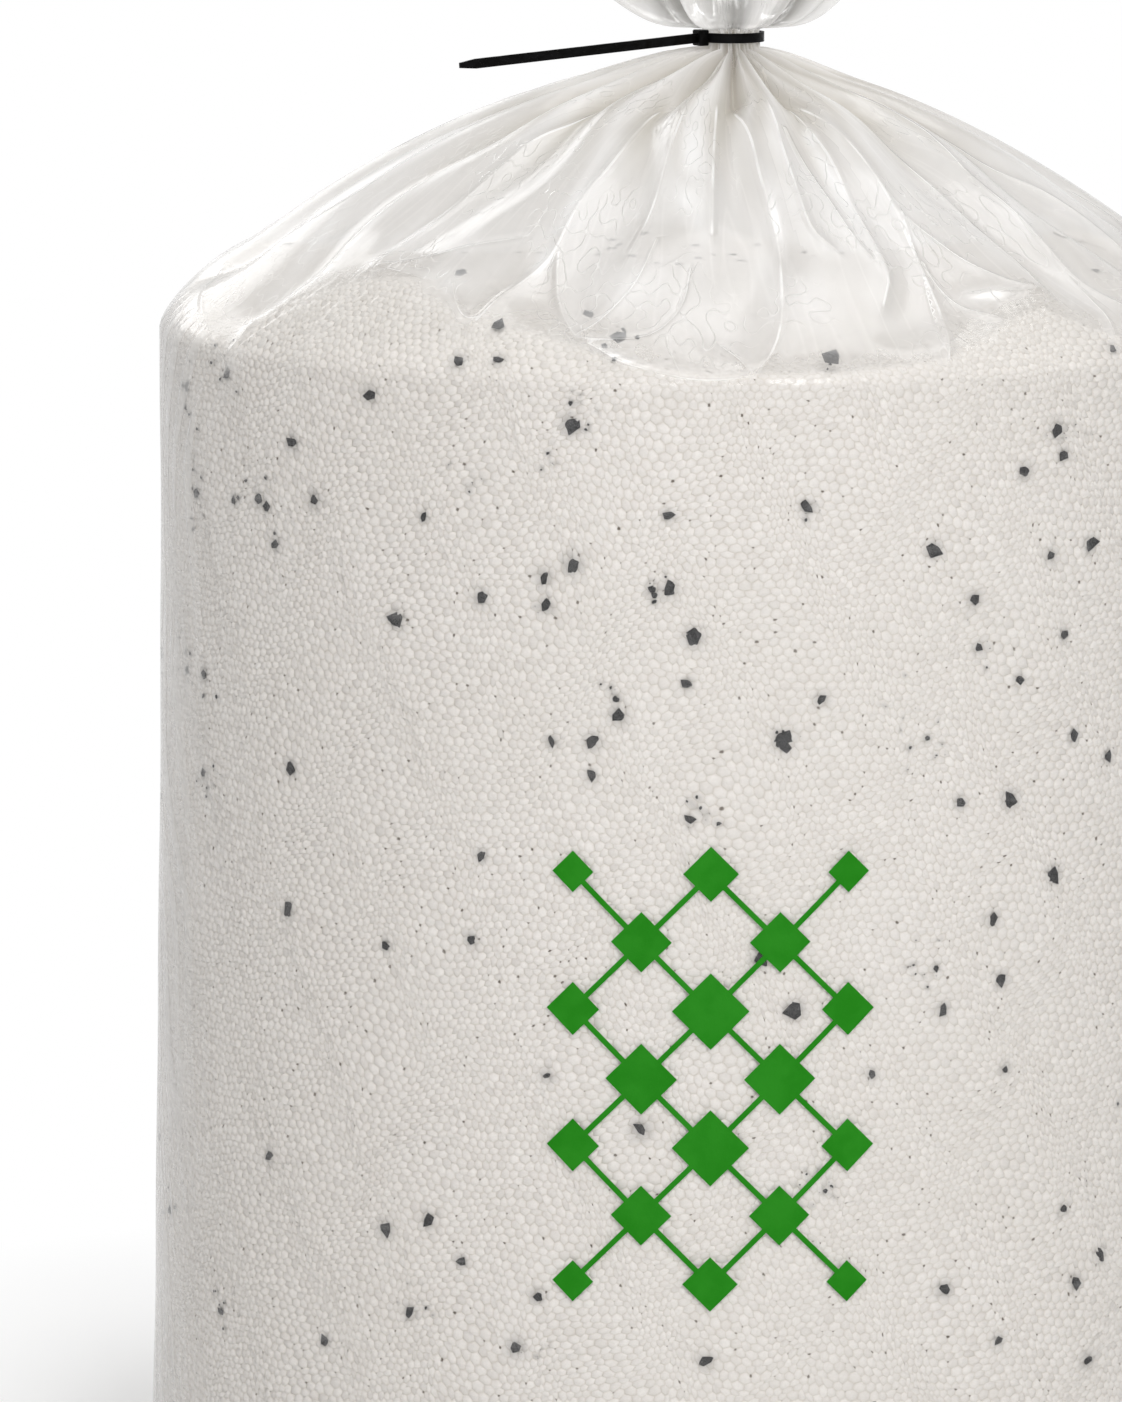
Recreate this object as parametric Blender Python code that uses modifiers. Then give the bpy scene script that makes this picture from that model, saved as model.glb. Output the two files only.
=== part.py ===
"""Clear film bag of polystyrene beads, gathered at the neck and closed with a cable tie.

Metres, +Z up. The origin is the centre of the base on the floor, and the front faces -Y.
Angles round the bag are counted from the front, positive towards +X.
"""

import math

import bmesh
import bpy

# Bag: base and wall
BAG_RADIUS = 0.2725
BASE_SPREAD = 0.0085
BASE_EDGE_RADIUS = 0.035
SHOULDER_HEIGHT = 0.595
FILM_THICKNESS = 0.0006

# Bag: dome, from the shoulder to the neck
DOME_HEIGHT = 0.140
SHOULDER_PULL = 0.0223
CROWN_PULL = 0.1186
CROWN_SLOPE = math.radians(4.7)
DOME_FOLD_DEPTH = 0.015
FOLD_RUN_IN = 0.22

# Each fold's angle in degrees, and how far up the dome it starts, from 0 at the shoulder to 1
FOLDS = (
    (-60, 0.04),
    (-40, 0.26),
    (-15, 0.08),
    (5, 0.02),
    (25, 0.05),
    (45, 0.16),
    (65, 0.08),
    (85, 0.20),
    (105, 0.06),
    (130, 0.22),
    (150, 0.10),
    (175, 0.18),
    (195, 0.05),
    (215, 0.20),
    (235, 0.09),
    (255, 0.24),
    (275, 0.12),
)

# Bag: neck and the flare above the tie
NECK_RADIUS = 0.015
NECK_OFFSET = 0.014
NECK_FOLD_SHARE = 0.4
FLARE_RADIUS = 0.068
FLARE_HEIGHT = 0.044
FLARE_FOLD_DEPTH = 0.014
FLARE_LOBES = 3
FLARE_LOBE_DEPTH = 0.008
FLARE_DROOP = 0.012
FLARE_LOBE_ANGLE = math.radians(-80)

# Bead fill: it presses on the dome up to an edge, which is rounded, and its top is a low mound
HEAP_GAP = 0.003
HEAP_EDGE_RADIUS = 0.008
MOUND_ABOVE_SHOULDER = 0.029
MOUND_CURVE = 2.2

# That edge round the bag: each place's angle in degrees, and its height above the shoulder
HEAP_EDGE = (
    (-76, 0.008),
    (-64, 0.001),
    (-59, 0.004),
    (-54, 0.028),
    (-45, 0.040),
    (-38, 0.041),
    (-30, 0.030),
    (-20, 0.022),
    (-9, 0.011),
    (0, 0.002),
    (14, 0.003),
    (25, 0.009),
    (33, 0.022),
    (40, 0.029),
    (48, 0.013),
    (60, 0.004),
    (75, 0.020),
    (92, 0.006),
    (108, 0.026),
    (125, 0.034),
    (142, 0.012),
    (158, 0.003),
    (172, 0.018),
    (188, 0.030),
    (203, 0.010),
    (218, 0.004),
    (234, 0.022),
    (250, 0.034),
    (264, 0.018),
)

# Cable tie
TIE_WIDTH = 0.0048
TIE_THICKNESS = 0.0013
HEAD_WIDTH = 0.0080
HEAD_LENGTH = 0.0074
HEAD_DEPTH = 0.0056
HEAD_EDGE = 0.0008
HEAD_ANGLE = math.radians(-58)
TAIL_LENGTH = 0.138
TAIL_DROOP = math.radians(3.3)
TAIL_TIP_LENGTH = 0.009
TAIL_TIP_WIDTH = 0.0026

# Green print: a trellis with a diamond at each crossing
PRINT_HEIGHT_ON_BAG = 0.265
PRINT_COLUMNS = 5
PRINT_ROWS = 7
PRINT_PITCH_ACROSS = 0.033
PRINT_PITCH_UP = 0.033
DIAMOND_LARGE = 0.021
DIAMOND_SMALL = 0.010
BAR_WIDTH = 0.0026
INK_THICKNESS = 0.0003

# Fits and facets
FIT_GAP = 0.0003
HEAD_CLEARANCE = 0.0008
FACETS_AROUND = 72
EDGE_RINGS = 4
WALL_RINGS = 6
HEAP_RINGS = 2
TOP_RINGS = 4
DOME_RINGS = 10
FLARE_RINGS = 5
PRINT_STRIP = 0.012

PARTS = "loose_fill_bead_bag"
CUTTERS = "loose_fill_bead_bag_cutters"


def clear_scene():
    for obj in list(bpy.data.objects):
        bpy.data.objects.remove(obj, do_unlink=True)


def new_collection(name):
    collection = bpy.data.collections.new(name)
    bpy.context.scene.collection.children.link(collection)
    return collection


def new_material(name, colour, roughness, alpha=1.0):
    material = bpy.data.materials.new(name)
    material.use_nodes = True
    shader = material.node_tree.nodes["Principled BSDF"]
    shader.inputs["Base Color"].default_value = (*colour, 1.0)
    shader.inputs["Roughness"].default_value = roughness
    shader.inputs["Metallic"].default_value = 0.0
    shader.inputs["Alpha"].default_value = alpha
    return material


def new_object(name, mesh, collection, material=None):
    obj = bpy.data.objects.new(name, mesh)
    collection.objects.link(obj)
    if material:
        mesh.materials.append(material)
    return obj


def smoothstep(value):
    value = min(max(value, 0.0), 1.0)
    return value * value * (3.0 - 2.0 * value)


def mix(start, end, share):
    return start + (end - start) * share


# The bag's outline


def wall_radius(height):
    """The wall leans out a little towards the base, where the beads press on it."""
    share_below = max(1.0 - height / SHOULDER_HEIGHT, 0.0)
    return BAG_RADIUS + BASE_SPREAD * share_below**1.5


def edge_centre_radius():
    return wall_radius(BASE_EDGE_RADIUS) - BASE_EDGE_RADIUS


def base_edge(inset):
    """(radius, height) up the rounded bottom edge, set in from the bag's outside."""
    points = []
    for step in range(EDGE_RINGS + 1):
        turn = 0.5 * math.pi * step / EDGE_RINGS
        reach = BASE_EDGE_RADIUS - inset
        radius = edge_centre_radius() + reach * math.sin(turn)
        points.append((radius, BASE_EDGE_RADIUS - reach * math.cos(turn)))
    return points


def wall(inset, top):
    """(radius, height) up the wall, above the bottom edge."""
    points = []
    for step in range(1, WALL_RINGS + 1):
        height = mix(BASE_EDGE_RADIUS, top, step / WALL_RINGS)
        points.append((wall_radius(height) - inset, height))
    return points


def dome(share):
    """(radius, height) on the dome, a cubic curve from the shoulder at 0 to the neck at 1."""
    neck_height = SHOULDER_HEIGHT + DOME_HEIGHT
    crown_radius = NECK_RADIUS + CROWN_PULL * math.cos(CROWN_SLOPE)
    crown_height = neck_height - CROWN_PULL * math.sin(CROWN_SLOPE)
    guides = (
        (BAG_RADIUS, SHOULDER_HEIGHT),
        (BAG_RADIUS, SHOULDER_HEIGHT + SHOULDER_PULL),
        (crown_radius, crown_height),
        (NECK_RADIUS, neck_height),
    )
    rest = 1.0 - share
    weights = (rest**3, 3 * rest**2 * share, 3 * rest * share**2, share**3)
    radius = sum(weight * guide[0] for weight, guide in zip(weights, guides))
    height = sum(weight * guide[1] for weight, guide in zip(weights, guides))
    return radius, height


def neck_top():
    """The neck is as tall as the tie's head, with a clearance below and above it."""
    return SHOULDER_HEIGHT + DOME_HEIGHT + HEAD_WIDTH + 2 * HEAD_CLEARANCE


def tie_height():
    return neck_top() - 0.5 * HEAD_WIDTH - HEAD_CLEARANCE


# Where the beads press on the dome, and the folds above that


def places_round(table, angle):
    """(share of the way, place, next place) at an angle in degrees, in a table of places."""
    for number, place in enumerate(table):
        following = table[(number + 1) % len(table)]
        spacing = (following[0] - place[0]) % 360
        past = (angle - place[0]) % 360
        if past < spacing:
            return past / spacing, place, following
    raise ValueError("the table doesn't go all the way round")


def heap_share(angle):
    """How far up the dome the beads press on the film, as a share of the dome."""
    between, place, following = places_round(HEAP_EDGE, angle)
    wanted = SHOULDER_HEIGHT + mix(place[1], following[1], between)
    low, high = 0.0, 1.0
    for _ in range(30):
        middle = 0.5 * (low + high)
        low, high = (middle, high) if dome(middle)[1] < wanted else (low, middle)
    return low


def fold_near(angle):
    """(share of the way to the next fold, start of the nearer fold) at an angle in degrees."""
    share, place, following = places_round(FOLDS, angle)
    return share, place[1] if share < 0.5 else following[1]


def fold_depth(angle, share):
    """How far the film is folded in at this angle and this share of the way up the dome."""
    between, start = fold_near(angle)
    free_from = math.ceil(heap_share(angle) * DOME_RINGS) / DOME_RINGS
    sharpness = mix(2.6, 1.0, share)
    valley = (0.5 + 0.5 * math.cos(2 * math.pi * between)) ** sharpness
    deepest = mix(DOME_FOLD_DEPTH, NECK_FOLD_SHARE * NECK_RADIUS, share)
    return deepest * valley * smoothstep((share - max(start, free_from)) / FOLD_RUN_IN)


def ring(radius_at, height_at, offset):
    points = []
    for step in range(FACETS_AROUND):
        degrees = 360 * step / FACETS_AROUND
        angle = math.radians(degrees)
        radius = radius_at(degrees)
        points.append(
            (
                offset + radius * math.sin(angle),
                -radius * math.cos(angle),
                height_at(angle),
            )
        )
    return points


def plain_ring(radius, height):
    return ring(lambda degrees: radius, lambda angle: height, 0.0)


def dome_ring(share):
    radius, height = dome(share)
    return ring(
        lambda degrees: radius - fold_depth(degrees, share),
        lambda angle: height,
        NECK_OFFSET * share**5,
    )


def flare_ring(share):
    """The film opens out above the tie, with the neck's folds and a few wide, drooping lobes."""
    radius = mix(NECK_RADIUS, FLARE_RADIUS, share**0.7)
    height = neck_top() + FLARE_HEIGHT * share**1.3
    folds = mix(NECK_FOLD_SHARE * NECK_RADIUS, FLARE_FOLD_DEPTH, share)

    def lobe(angle):
        return 0.5 + 0.5 * math.cos(FLARE_LOBES * (angle - FLARE_LOBE_ANGLE))

    def radius_at(degrees):
        between, _ = fold_near(degrees)
        valley = 0.5 + 0.5 * math.cos(2 * math.pi * between)
        widening = FLARE_LOBE_DEPTH * share**2 * lobe(math.radians(degrees))
        return radius - folds * valley + widening

    def height_at(angle):
        return height - FLARE_DROOP * share**3 * lobe(angle)

    return ring(radius_at, height_at, NECK_OFFSET)


def film_rings():
    rings = [plain_ring(radius, height) for radius, height in base_edge(0.0)]
    rings += [plain_ring(*point) for point in wall(0.0, SHOULDER_HEIGHT)]
    rings += [dome_ring(step / DOME_RINGS) for step in range(1, DOME_RINGS + 1)]
    rings += [flare_ring(step / FLARE_RINGS) for step in range(FLARE_RINGS + 1)]
    return rings


def add_rows(shape, rings, base_height, close_top=None):
    """A skin through the rings, closed at the base and, at a height, over the top."""
    rows = [[shape.verts.new(point) for point in points] for points in rings]
    base = shape.verts.new((0.0, 0.0, base_height))
    top = shape.verts.new((0.0, 0.0, close_top)) if close_top else None
    for step in range(FACETS_AROUND):
        following = (step + 1) % FACETS_AROUND
        shape.faces.new((base, rows[0][following], rows[0][step]))
        for below, above in zip(rows, rows[1:]):
            corners = (below[step], below[following], above[following], above[step])
            shape.faces.new(corners)
        if top:
            shape.faces.new((rows[-1][step], rows[-1][following], top))


def make_film(collection):
    """One film tube: base, wall, folded dome, gathered neck and an open flare."""
    shape = bmesh.new()
    add_rows(shape, film_rings(), 0.0)
    mesh = bpy.data.meshes.new("bag_film")
    shape.to_mesh(mesh)
    shape.free()
    mesh.shade_smooth()
    material = new_material("clear_film", (0.93, 0.93, 0.92), 0.12, alpha=0.3)
    film = new_object("bag_film", mesh, collection, material)
    wall_modifier = film.modifiers.new("film_thickness", "SOLIDIFY")
    wall_modifier.thickness = FILM_THICKNESS
    wall_modifier.offset = -1.0
    return film


def under_dome(share):
    """(radius, height, slope) just inside the unfolded dome; the slope is 90 degrees if upright."""
    radius, height = dome(share)
    radius_above, height_above = dome(share + 0.001)
    slope = math.atan2(height_above - height, radius - radius_above)
    return radius - HEAP_GAP * math.sin(slope), height - HEAP_GAP * math.cos(slope), slope


def fill_column(degrees):
    """(radius, height) of the fill at one angle, from its base edge up to the mound's middle."""
    inset = FILM_THICKNESS + FIT_GAP
    points = base_edge(inset) + wall(inset, SHOULDER_HEIGHT)
    pressed = heap_share(degrees)
    for step in range(1, HEAP_RINGS + 1):
        radius, height, slope = under_dome(pressed * step / HEAP_RINGS)
        points.append((radius, height))
    for now in (0.5 * slope, 0.0):
        edge_radius = radius - HEAP_EDGE_RADIUS * (math.sin(slope) - math.sin(now))
        edge_height = height + HEAP_EDGE_RADIUS * (math.cos(now) - math.cos(slope))
        points.append((edge_radius, edge_height))
    middle = SHOULDER_HEIGHT + MOUND_ABOVE_SHOULDER
    for step in range(1, TOP_RINGS):
        share = 1.0 - step / TOP_RINGS
        points.append((edge_radius * share, mix(middle, edge_height, share**MOUND_CURVE)))
    return points


def make_fill(collection):
    """The heap of beads as one solid, just inside the film."""
    columns = [fill_column(360 * step / FACETS_AROUND) for step in range(FACETS_AROUND)]
    rings = []
    for row in zip(*columns):
        points = []
        for step, (radius, height) in enumerate(row):
            angle = 2 * math.pi * step / FACETS_AROUND
            points.append((radius * math.sin(angle), -radius * math.cos(angle), height))
        rings.append(points)
    shape = bmesh.new()
    base = FILM_THICKNESS + FIT_GAP
    add_rows(shape, rings, base, SHOULDER_HEIGHT + MOUND_ABOVE_SHOULDER)
    mesh = bpy.data.meshes.new("bead_fill")
    shape.to_mesh(mesh)
    shape.free()
    material = new_material("polystyrene_beads", (0.86, 0.84, 0.81), 0.55)
    return new_object("bead_fill", mesh, collection, material)


# The cable tie


def make_loop(collection, material):
    """The band round the neck: a turned rectangle, with its profile run down the outside."""
    inner = NECK_RADIUS + FIT_GAP
    outer = inner + TIE_THICKNESS
    half = 0.5 * TIE_WIDTH
    corners = ((inner, half), (outer, half), (outer, -half), (inner, -half))
    shape = bmesh.new()
    verts = [shape.verts.new((radius, 0.0, height)) for radius, height in corners]
    for number, vert in enumerate(verts):
        shape.edges.new((vert, verts[(number + 1) % len(verts)]))
    mesh = bpy.data.meshes.new("cable_tie")
    shape.to_mesh(mesh)
    shape.free()
    tie = new_object("cable_tie", mesh, collection, material)
    tie.location = (NECK_OFFSET, 0.0, tie_height())
    turn = tie.modifiers.new("turned", "SCREW")
    turn.axis = "Z"
    turn.angle = 2 * math.pi
    turn.steps = FACETS_AROUND
    turn.render_steps = FACETS_AROUND
    turn.use_merge_vertices = True
    turn.merge_threshold = 0.00001
    return tie


def place_on_loop(obj, radius, tilt=0.0):
    """Puts the object at a radius from the neck's axis, its +X pointing away from the neck."""
    obj.rotation_euler = (0.0, tilt, HEAD_ANGLE - 0.5 * math.pi)
    obj.location = (
        NECK_OFFSET + radius * math.sin(HEAD_ANGLE),
        -radius * math.cos(HEAD_ANGLE),
        tie_height(),
    )


def hide_cutter(obj):
    obj.hide_render = True
    obj.display_type = "WIRE"


def make_head(cutters):
    shape = bmesh.new()
    bmesh.ops.create_cube(shape, size=1.0)
    bmesh.ops.scale(shape, vec=(HEAD_DEPTH, HEAD_LENGTH, HEAD_WIDTH), verts=shape.verts)
    mesh = bpy.data.meshes.new("tie_head")
    shape.to_mesh(mesh)
    shape.free()
    head = new_object("tie_head", mesh, cutters)
    edge = head.modifiers.new("rounded", "BEVEL")
    edge.width = HEAD_EDGE
    edge.segments = 2
    place_on_loop(head, NECK_RADIUS + FIT_GAP + 0.5 * HEAD_DEPTH)
    hide_cutter(head)
    return head


def make_tail(cutters):
    """The free end: a flat strip that narrows at its tip, run out through the head."""
    length = 0.5 * HEAD_DEPTH + TAIL_LENGTH
    half = 0.5 * TIE_WIDTH
    half_tip = 0.5 * TAIL_TIP_WIDTH
    outline = (
        (0.0, -half),
        (length - TAIL_TIP_LENGTH, -half),
        (length, -half_tip),
        (length, half_tip),
        (length - TAIL_TIP_LENGTH, half),
        (0.0, half),
    )
    curve = bpy.data.curves.new("tie_tail_outline", "CURVE")
    curve.dimensions = "2D"
    curve.fill_mode = "BOTH"
    curve.extrude = 0.5 * TIE_THICKNESS
    spline = curve.splines.new("POLY")
    spline.points.add(len(outline) - 1)
    for point, (along, across) in zip(spline.points, outline):
        point.co = (along, across, 0.0, 1.0)
    spline.use_cyclic_u = True
    guide = bpy.data.objects.new("tie_tail_outline", curve)
    cutters.objects.link(guide)
    bpy.context.view_layer.update()
    graph = bpy.context.evaluated_depsgraph_get()
    mesh = bpy.data.meshes.new_from_object(guide.evaluated_get(graph))
    bpy.data.objects.remove(guide)
    shape = bmesh.new()
    shape.from_mesh(mesh)
    bmesh.ops.remove_doubles(shape, verts=shape.verts, dist=0.00001)
    for vert in shape.verts:
        vert.co.y, vert.co.z = -vert.co.z, vert.co.y
    shape.to_mesh(mesh)
    shape.free()
    tail = new_object("tie_tail", mesh, cutters)
    place_on_loop(tail, NECK_RADIUS + FIT_GAP + 0.5 * HEAD_DEPTH, TAIL_DROOP)
    hide_cutter(tail)
    return tail


def make_tie(collection, cutters):
    """One moulding: the loop, with the head and the tail joined to it."""
    material = new_material("black_nylon", (0.012, 0.012, 0.012), 0.38)
    tie = make_loop(collection, material)
    for piece in (make_head(cutters), make_tail(cutters)):
        join = tie.modifiers.new("join_" + piece.name, "BOOLEAN")
        join.operation = "UNION"
        join.object = piece
    return tie


# The green print


def diamond_size(column, row):
    """Half a diamond's width, largest in the middle of the print."""
    across = abs(column / (PRINT_COLUMNS - 1) - 0.5)
    up = abs(row / (PRINT_ROWS - 1) - 0.5)
    return mix(DIAMOND_LARGE, DIAMOND_SMALL, math.hypot(across, up) / math.hypot(0.5, 0.5))


def print_crossings():
    """{(column, row): (across, up)} of the trellis's crossings, about the print's centre."""
    crossings = {}
    for column in range(PRINT_COLUMNS):
        for row in range(PRINT_ROWS):
            if (column + row) % 2 == 0:
                across = (column - 0.5 * (PRINT_COLUMNS - 1)) * PRINT_PITCH_ACROSS
                up = (row - 0.5 * (PRINT_ROWS - 1)) * PRINT_PITCH_UP
                crossings[column, row] = (across, up)
    return crossings


def add_diamond(shape, crossings, cell, roots):
    """One diamond. Where a bar leaves an edge, the edge gets two points, kept in roots."""
    column, row = cell
    across, up = crossings[cell]
    half_width = diamond_size(column, row)
    half_height = half_width * PRINT_PITCH_UP / PRINT_PITCH_ACROSS
    edge_length = math.hypot(half_width, half_height)
    corners = [(1, 0), (0, 1), (-1, 0), (0, -1)]
    outline = []
    for number, corner in enumerate(corners):
        following = corners[(number + 1) % len(corners)]
        at = (across + corner[0] * half_width, up + corner[1] * half_height)
        outline.append(shape.verts.new((*at, 0.0)))
        facing = (corner[0] + following[0], corner[1] + following[1])
        other = (column + facing[0], row + facing[1])
        if other not in crossings:
            continue
        step = (
            (following[0] - corner[0]) * half_width / edge_length,
            (following[1] - corner[1]) * half_height / edge_length,
        )
        pair = []
        for side in (-0.5, 0.5):
            point = (
                across + 0.5 * facing[0] * half_width + side * BAR_WIDTH * step[0],
                up + 0.5 * facing[1] * half_height + side * BAR_WIDTH * step[1],
            )
            pair.append(shape.verts.new((*point, 0.0)))
        outline += pair
        roots[cell, other] = pair
    shape.faces.new(outline)


def bend_to_wall(shape):
    """Lays the flat print on the front of the wall, the fit gap clear of it."""
    for vert in shape.verts:
        height = PRINT_HEIGHT_ON_BAG + vert.co.y
        radius = wall_radius(height) + FIT_GAP
        angle = vert.co.x / radius
        vert.co = (radius * math.sin(angle), -radius * math.cos(angle), height)


def make_print(collection):
    """A trellis of bars with a diamond at each crossing, standing in for the bag's own print."""
    shape = bmesh.new()
    crossings = print_crossings()
    roots = {}
    for cell in crossings:
        add_diamond(shape, crossings, cell, roots)
    for cell, other in roots:
        if cell < other:
            start, end = roots[cell, other], roots[other, cell]
            shape.faces.new((start[1], start[0], end[1], end[0]))
    half_width = 0.5 * (PRINT_COLUMNS - 1) * PRINT_PITCH_ACROSS + DIAMOND_LARGE
    strips = math.ceil(2 * half_width / PRINT_STRIP)
    for number in range(1, strips):
        across = mix(-half_width, half_width, number / strips)
        bmesh.ops.bisect_plane(
            shape,
            geom=shape.verts[:] + shape.edges[:] + shape.faces[:],
            dist=0.00001,
            plane_co=(across, 0.0, 0.0),
            plane_no=(1.0, 0.0, 0.0),
        )
    bend_to_wall(shape)
    mesh = bpy.data.meshes.new("green_print")
    shape.to_mesh(mesh)
    shape.free()
    material = new_material("green_ink", (0.045, 0.26, 0.032), 0.4)
    ink = new_object("green_print", mesh, collection, material)
    layer = ink.modifiers.new("ink_thickness", "SOLIDIFY")
    layer.thickness = INK_THICKNESS
    layer.offset = 1.0
    return ink


def main():
    clear_scene()
    parts = new_collection(PARTS)
    cutters = new_collection(CUTTERS)
    make_film(parts)
    make_fill(parts)
    make_tie(parts, cutters)
    make_print(parts)


main()
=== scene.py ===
"""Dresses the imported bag: clear film over white beads, a cable tie and a green print.

Metres, +Z up, the front faces -Y. Angles round the bag are counted from the front, positive
towards +X. Pixels are those of the 1122 x 1402 photograph.
"""

import math

import bmesh
import bpy
import numpy as np
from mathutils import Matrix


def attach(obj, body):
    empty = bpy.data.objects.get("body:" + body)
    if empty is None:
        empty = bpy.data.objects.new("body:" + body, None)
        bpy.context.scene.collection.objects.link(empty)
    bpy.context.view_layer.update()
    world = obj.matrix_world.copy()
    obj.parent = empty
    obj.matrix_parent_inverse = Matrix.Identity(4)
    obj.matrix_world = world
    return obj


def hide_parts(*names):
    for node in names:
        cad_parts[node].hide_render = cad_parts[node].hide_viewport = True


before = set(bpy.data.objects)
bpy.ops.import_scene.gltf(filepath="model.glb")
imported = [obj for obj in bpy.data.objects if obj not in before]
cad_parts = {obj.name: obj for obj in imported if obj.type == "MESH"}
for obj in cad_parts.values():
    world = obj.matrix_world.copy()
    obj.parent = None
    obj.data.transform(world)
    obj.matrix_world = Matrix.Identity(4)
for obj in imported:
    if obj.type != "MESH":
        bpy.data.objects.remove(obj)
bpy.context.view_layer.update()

# The bag's outline, as in part.py
BAG_RADIUS = 0.2725
BASE_SPREAD = 0.0085
BASE_EDGE_RADIUS = 0.035
SHOULDER_HEIGHT = 0.595
DOME_HEIGHT = 0.140
SHOULDER_PULL = 0.0223
CROWN_PULL = 0.1186
CROWN_SLOPE = math.radians(4.7)
DOME_FOLD_DEPTH = 0.015
FOLD_RUN_IN = 0.22
FOLDS = (
    (-60, 0.04), (-40, 0.26), (-15, 0.08), (5, 0.02), (25, 0.05), (45, 0.16), (65, 0.08),
    (85, 0.20), (105, 0.06), (130, 0.22), (150, 0.10), (175, 0.18), (195, 0.05), (215, 0.20),
    (235, 0.09), (255, 0.24), (275, 0.12),
)
NECK_RADIUS = 0.015
NECK_OFFSET = 0.014
NECK_TOP = 0.7446
TIE_HEIGHT = 0.7398
FLARE_RADIUS = 0.068
FLARE_HEIGHT = 0.044
FLARE_LOBES = 3
FLARE_DROOP = 0.012
FLARE_LOBE_ANGLE = math.radians(-80)
FILL_INSET = 0.0009
HEAP_EDGE_RADIUS = 0.008
MOUND_TOP = 0.624
MOUND_CURVE = 2.2
HEAP_EDGE = (
    (-76, 0.008), (-64, 0.001), (-59, 0.004), (-54, 0.028), (-45, 0.040), (-38, 0.041),
    (-30, 0.030), (-20, 0.022), (-9, 0.011), (0, 0.002), (14, 0.003), (25, 0.009), (33, 0.022),
    (40, 0.029), (48, 0.013), (60, 0.004), (75, 0.020), (92, 0.006), (108, 0.026), (125, 0.034),
    (142, 0.012), (158, 0.003), (172, 0.018), (188, 0.030), (203, 0.010), (218, 0.004),
    (234, 0.022), (250, 0.034), (264, 0.018),
)

# The floor's own light, for the camera alone; within SHADOW_REACH it fades to the lit floor's grey,
# a painted shadow round the bag on top of the one the lamps cast
FLOOR_GLOW = 0.20
FLOOR_REACH = 60.0
SHADOW_REACH = (0.355, 0.66)
AMBIENT = 0.45
WHITE = (1.0, 1.0, 1.0)

# The camera
PHOTO_WIDTH, PHOTO_HEIGHT = 1122, 1402
FOCAL_PIXELS = 8000
CAMERA_AT = (-0.071, -4.0, 1.037)
CAMERA_PITCH = math.radians(9)
SENSOR = 36.0

# The outline's points along the foot, and along the dome
FOOT_POINTS = 30
DOME_SHARES = np.linspace(0.0, 1.0, 600)

# The film's mesh
DOME_COLUMNS = 640
WALL_COLUMNS = DOME_COLUMNS // 2
DOME_ROWS = 100
FRONT_CROWDING = 0.45
NECK_ROWS = 5
FLARE_ROWS = 22
WALL_ROWS = 44

# The wall's wrinkles, per metre, and how they lean
WRINKLES_ACROSS, WRINKLES_UP = 72.0, 11.0
LEAN, LEAN_BEND, LEAN_FROM = 24.0, -170.0, 0.42

# The beads
BEAD_PITCH = 0.0042
BEAD_COLUMNS = 408
BEAD_CREVICE = 0.0012
BASE_BEADS_RADIUS = 0.246
BEADS_PAST_LIFT = 0.022
BEAD_TILT = math.radians(26)
CHIP_CORNERS = 9

# Lines where the film is creased, in pixels, from the neck outwards:
# (height in mm, width in mm, x, y, x, y and so on)
CREASES = (
    (2.6, 7, 560, 84, 480, 112, 403, 150, 343, 190, 293, 220, 262, 240, 227, 258),
    (5.0, 9, 640, 64, 560, 98, 483, 137, 440, 160, 383, 200, 350, 227, 313, 257, 270, 297,
     250, 330, 228, 360),
    (3.0, 6, 228, 360, 210, 330, 200, 303, 214, 262),
    (5.5, 9, 660, 66, 590, 96, 530, 130, 503, 153, 450, 193, 413, 220, 390, 247, 376, 265),
    (1.8, 4, 376, 266, 403, 272, 428, 280),
    (1.8, 5, 378, 266, 433, 250, 470, 238, 517, 230),
    (5.5, 9, 690, 62, 640, 110, 610, 157, 583, 187, 563, 220, 552, 242, 520, 277, 500, 297,
     482, 318),
    (2.0, 5, 482, 320, 464, 319, 455, 300, 452, 284),
    (3.6, 6, 556, 242, 553, 277, 563, 313, 575, 337),
    (2.6, 6, 575, 338, 597, 348, 620, 363, 653, 372, 700, 382, 753, 378),
    (2.0, 5, 576, 337, 600, 317, 618, 298, 640, 268, 655, 232),
    (1.6, 5, 577, 339, 630, 340, 660, 330, 684, 296, 690, 262),
    (4.4, 7, 722, 62, 733, 90, 750, 123, 758, 157, 767, 183, 777, 213, 783, 257, 782, 323,
     770, 357, 753, 378),
    (1.6, 4, 753, 378, 735, 352, 722, 338),
    (4.5, 6, 714, 78, 715, 117, 713, 173, 712, 223),
    (4.5, 8, 700, 84, 677, 123, 653, 193, 630, 240),
    (3.6, 5, 747, 70, 773, 103, 783, 140, 800, 190, 813, 223, 833, 240),
    (5.0, 7, 760, 76, 810, 110, 853, 183, 873, 230, 893, 263, 887, 293),
    (2.2, 5, 787, 117, 813, 160, 840, 207, 860, 237, 873, 250),
    (5.0, 8, 762, 64, 803, 90, 840, 123, 887, 183, 913, 227, 940, 287, 947, 323, 948, 353),
    (1.8, 4, 905, 205, 925, 250, 935, 300, 946, 352),
    (1.8, 5, 930, 250, 940, 270, 967, 307, 1000, 318),
    (5.0, 8, 790, 66, 843, 95, 880, 123, 930, 163, 980, 210, 1013, 243, 1043, 290),
    (2.4, 5, 903, 203, 947, 237, 973, 258, 1013, 282, 1043, 290),
    (1.6, 5, 1043, 291, 1005, 290, 973, 287),
    (5.0, 8, 790, 56, 820, 70, 913, 112, 950, 143, 970, 167, 1013, 200, 1040, 227, 1067, 253,
     1100, 287, 1122, 302),
    (3.0, 6, 820, 66, 947, 117, 997, 150, 1053, 183, 1122, 233),
    (2.6, 6, 1052, 240, 1080, 270, 1113, 333),
)
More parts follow.
